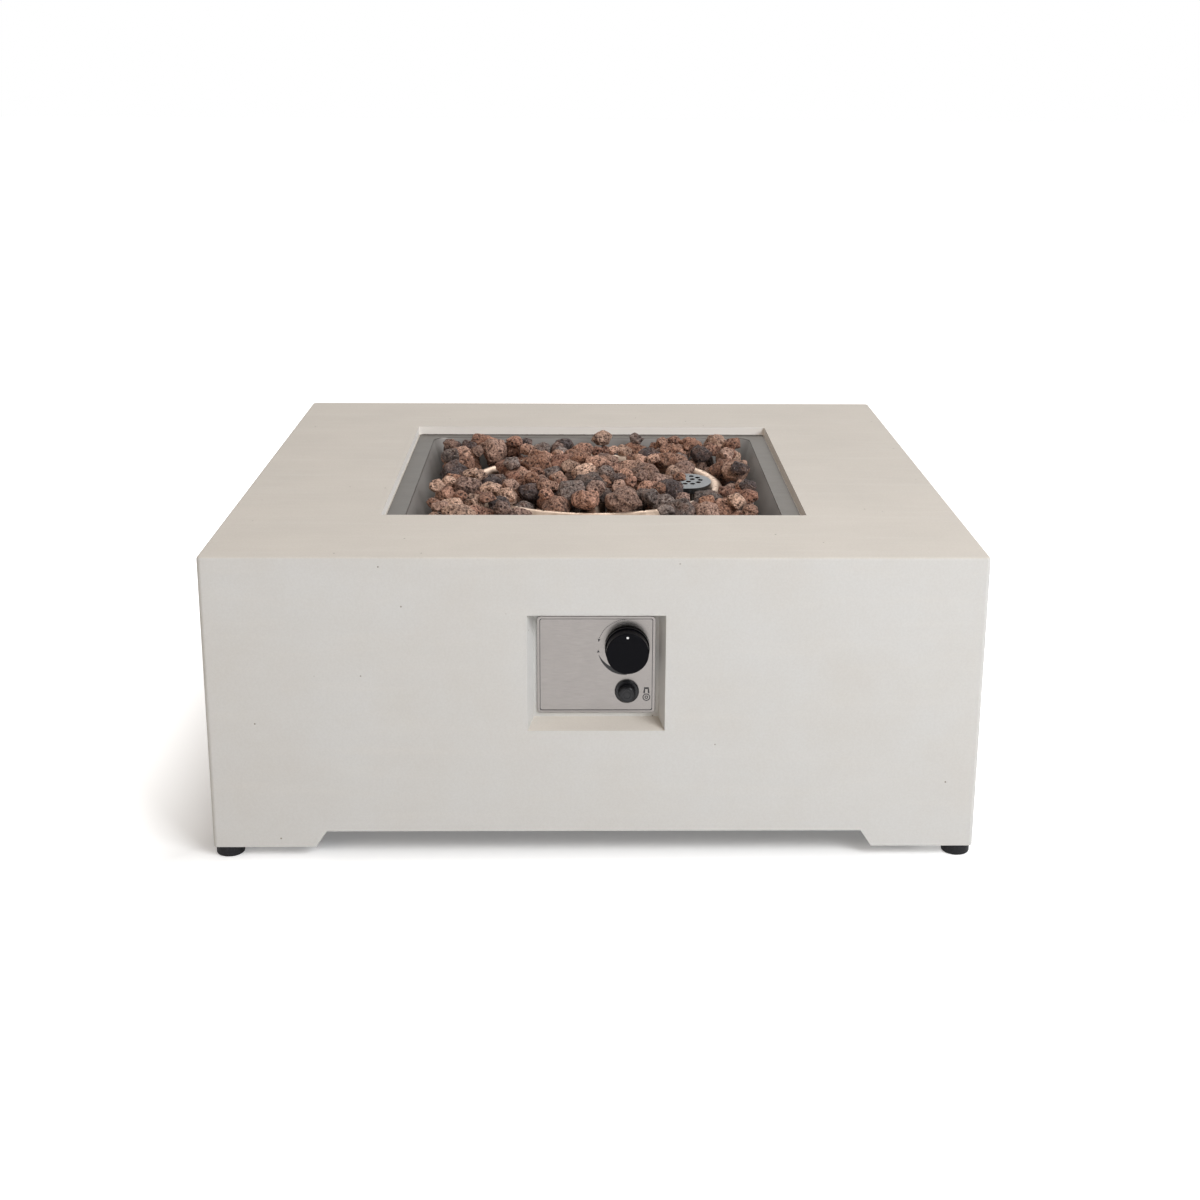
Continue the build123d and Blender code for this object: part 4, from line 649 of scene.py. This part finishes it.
def lava_pile(name, node, level):
    """All the lumps of a CAD node as one piece of rough, pored rocks."""
    sphere, triangles = sphere_mesh(level)
    all_points, all_faces, all_painted_tones, count = [], [], [], 0
    for corners in lumps_of(node):
        middle = corners.mean(axis=0)
        normals, distances = flat_sides(corners - middle)
        facing = np.clip(sphere @ normals.T, 1e-4, None) / distances
        reach = (facing ** corner_power).sum(axis=1) ** (-1 / corner_power) * fullness
        shift = np.array([chance.uniform(0, 1), chance.uniform(0, 1), chance.uniform(0, 1)])
        points = sphere * reach[:, None] + shift
        creased = 0.4 - np.abs(cloud_at(points, 0.0105))
        uneven = 0.10 * cloud_at(points, 0.016) + 0.17 * creased + 0.05 * cloud_at(points, 0.0065)
        pit = bubble_at(points, bubble_pitch)
        depth = reach * uneven + 0.0004 * cloud_at(points, 0.0025) - 0.0036 * pit
        lump = sphere * (reach + depth)[:, None]
        lump *= min(1, (cad_high[2] - middle[2]) / lump[:, 2].max())
        all_points.append(lump + middle)
        all_faces.append(triangles + count)
        tone = np.array(chance.choice(lava_tones)) * chance.uniform(0.92, 1.62)
        # Painted shade in the bubble pits and the creases, and a painted highlight on the raised bumps.
        painted_shade_and_highlight = ((1 - np.clip(pit / 0.3, 0, 1) * 0.88) * (1 + 2.4 * uneven))[:, None]
        all_painted_tones.append(np.hstack((tone * painted_shade_and_highlight, np.ones((len(points), 1)))))
        count += len(points)
    points, faces = np.concatenate(all_points), np.concatenate(all_faces)
    mesh = bpy.data.meshes.new(name)
    mesh.vertices.add(len(points))
    mesh.vertices.foreach_set("co", points.ravel())
    mesh.loops.add(faces.size)
    mesh.loops.foreach_set("vertex_index", faces.ravel())
    mesh.polygons.add(len(faces))
    mesh.polygons.foreach_set("loop_start", np.arange(0, faces.size, 3))
    mesh.update(calc_edges=True)
    mesh.polygons.foreach_set("use_smooth", np.ones(len(faces), bool))
    tones = mesh.color_attributes.new("tone", "FLOAT_COLOR", "POINT")
    tones.data.foreach_set("color", np.concatenate(all_painted_tones).ravel())
    pile = bpy.data.objects.new(name, mesh)
    bpy.context.scene.collection.objects.link(pile)
    mesh.materials.append(scoria)
    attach(pile, "base")
    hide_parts(node)


scoria, tree, shader, place = new_finish("scoria", IOR=1.5)
tone_with_painted_light = add_node(tree, "ShaderNodeVertexColor", {"layer_name": "tone"}).outputs["Color"]
patches = noise_of(tree, place, 16, 3, 0.6)
crumbs = noise_of(tree, place, 2.5, 3, 0.65)
bubbles = add_node(tree, "ShaderNodeTexVoronoi", None, {"Vector": place, "Scale": 1000 / 2.4})
pore = spread(tree, bubbles.outputs["Distance"], 0.20, 0.42, 1, 0)
fine_bubbles = add_node(tree, "ShaderNodeTexVoronoi", None, {"Vector": place, "Scale": 1000 / 1.1})
fine_pore = spread(tree, fine_bubbles.outputs["Distance"], 0.18, 0.4, 1, 0)
tone = blend_colours(tree, spread(tree, patches, 0.45, 0.7, 0, 0.45), tone_with_painted_light, srgb("#ad8671"))
tone = blend_colours(tree, spread(tree, patches, 0.30, 0.45, 0.55, 0), tone, srgb("#3e2f2a"))
tone = blend_colours(tree, spread(tree, crumbs, 0.42, 0.62, 0, 0.6), tone, srgb("#4d362f"))
tone = blend_colours(tree, spread(tree, crumbs, 0.42, 0.30, 0, 0.5), tone, srgb("#d2b5a3"))
# Painted shade: the fine and the larger pores are darkened as well as sunk by the bump.
tone = blend_colours(tree, spread(tree, fine_pore, 0, 1, 0, 0.4), tone, srgb("#2a1f1c"))
tone = blend_colours(tree, spread(tree, pore, 0, 1, 0, 0.6), tone, srgb("#1b1413"))
tree.links.new(tone, shader.inputs["Base Color"])
tree.links.new(spread(tree, crumbs, 0.3, 0.7, 0.82, 0.98), shader.inputs["Roughness"])
holes = add_node(tree, "ShaderNodeMath", {"operation": "SUBTRACT"}, {0: 1.0, 1: pore}).outputs[0]
fine_holes = add_node(tree, "ShaderNodeMath", {"operation": "SUBTRACT"}, {0: 1.0, 1: fine_pore}).outputs[0]
relief = raised(tree, crumbs, 0.4)
relief = raised(tree, fine_holes, 0.3, relief)
tree.links.new(raised(tree, holes, 0.7, relief), shader.inputs["Normal"])

lava_pile("lava_heap_inside", "lava_rocks_inside", 5)
lava_pile("lava_heap_outside", "lava_rocks_outside", 5)
lava_pile("lava_filling", "lava_rocks_fill", 4)
lava_pile("lava_bed", "lava_rocks_bed", 3)
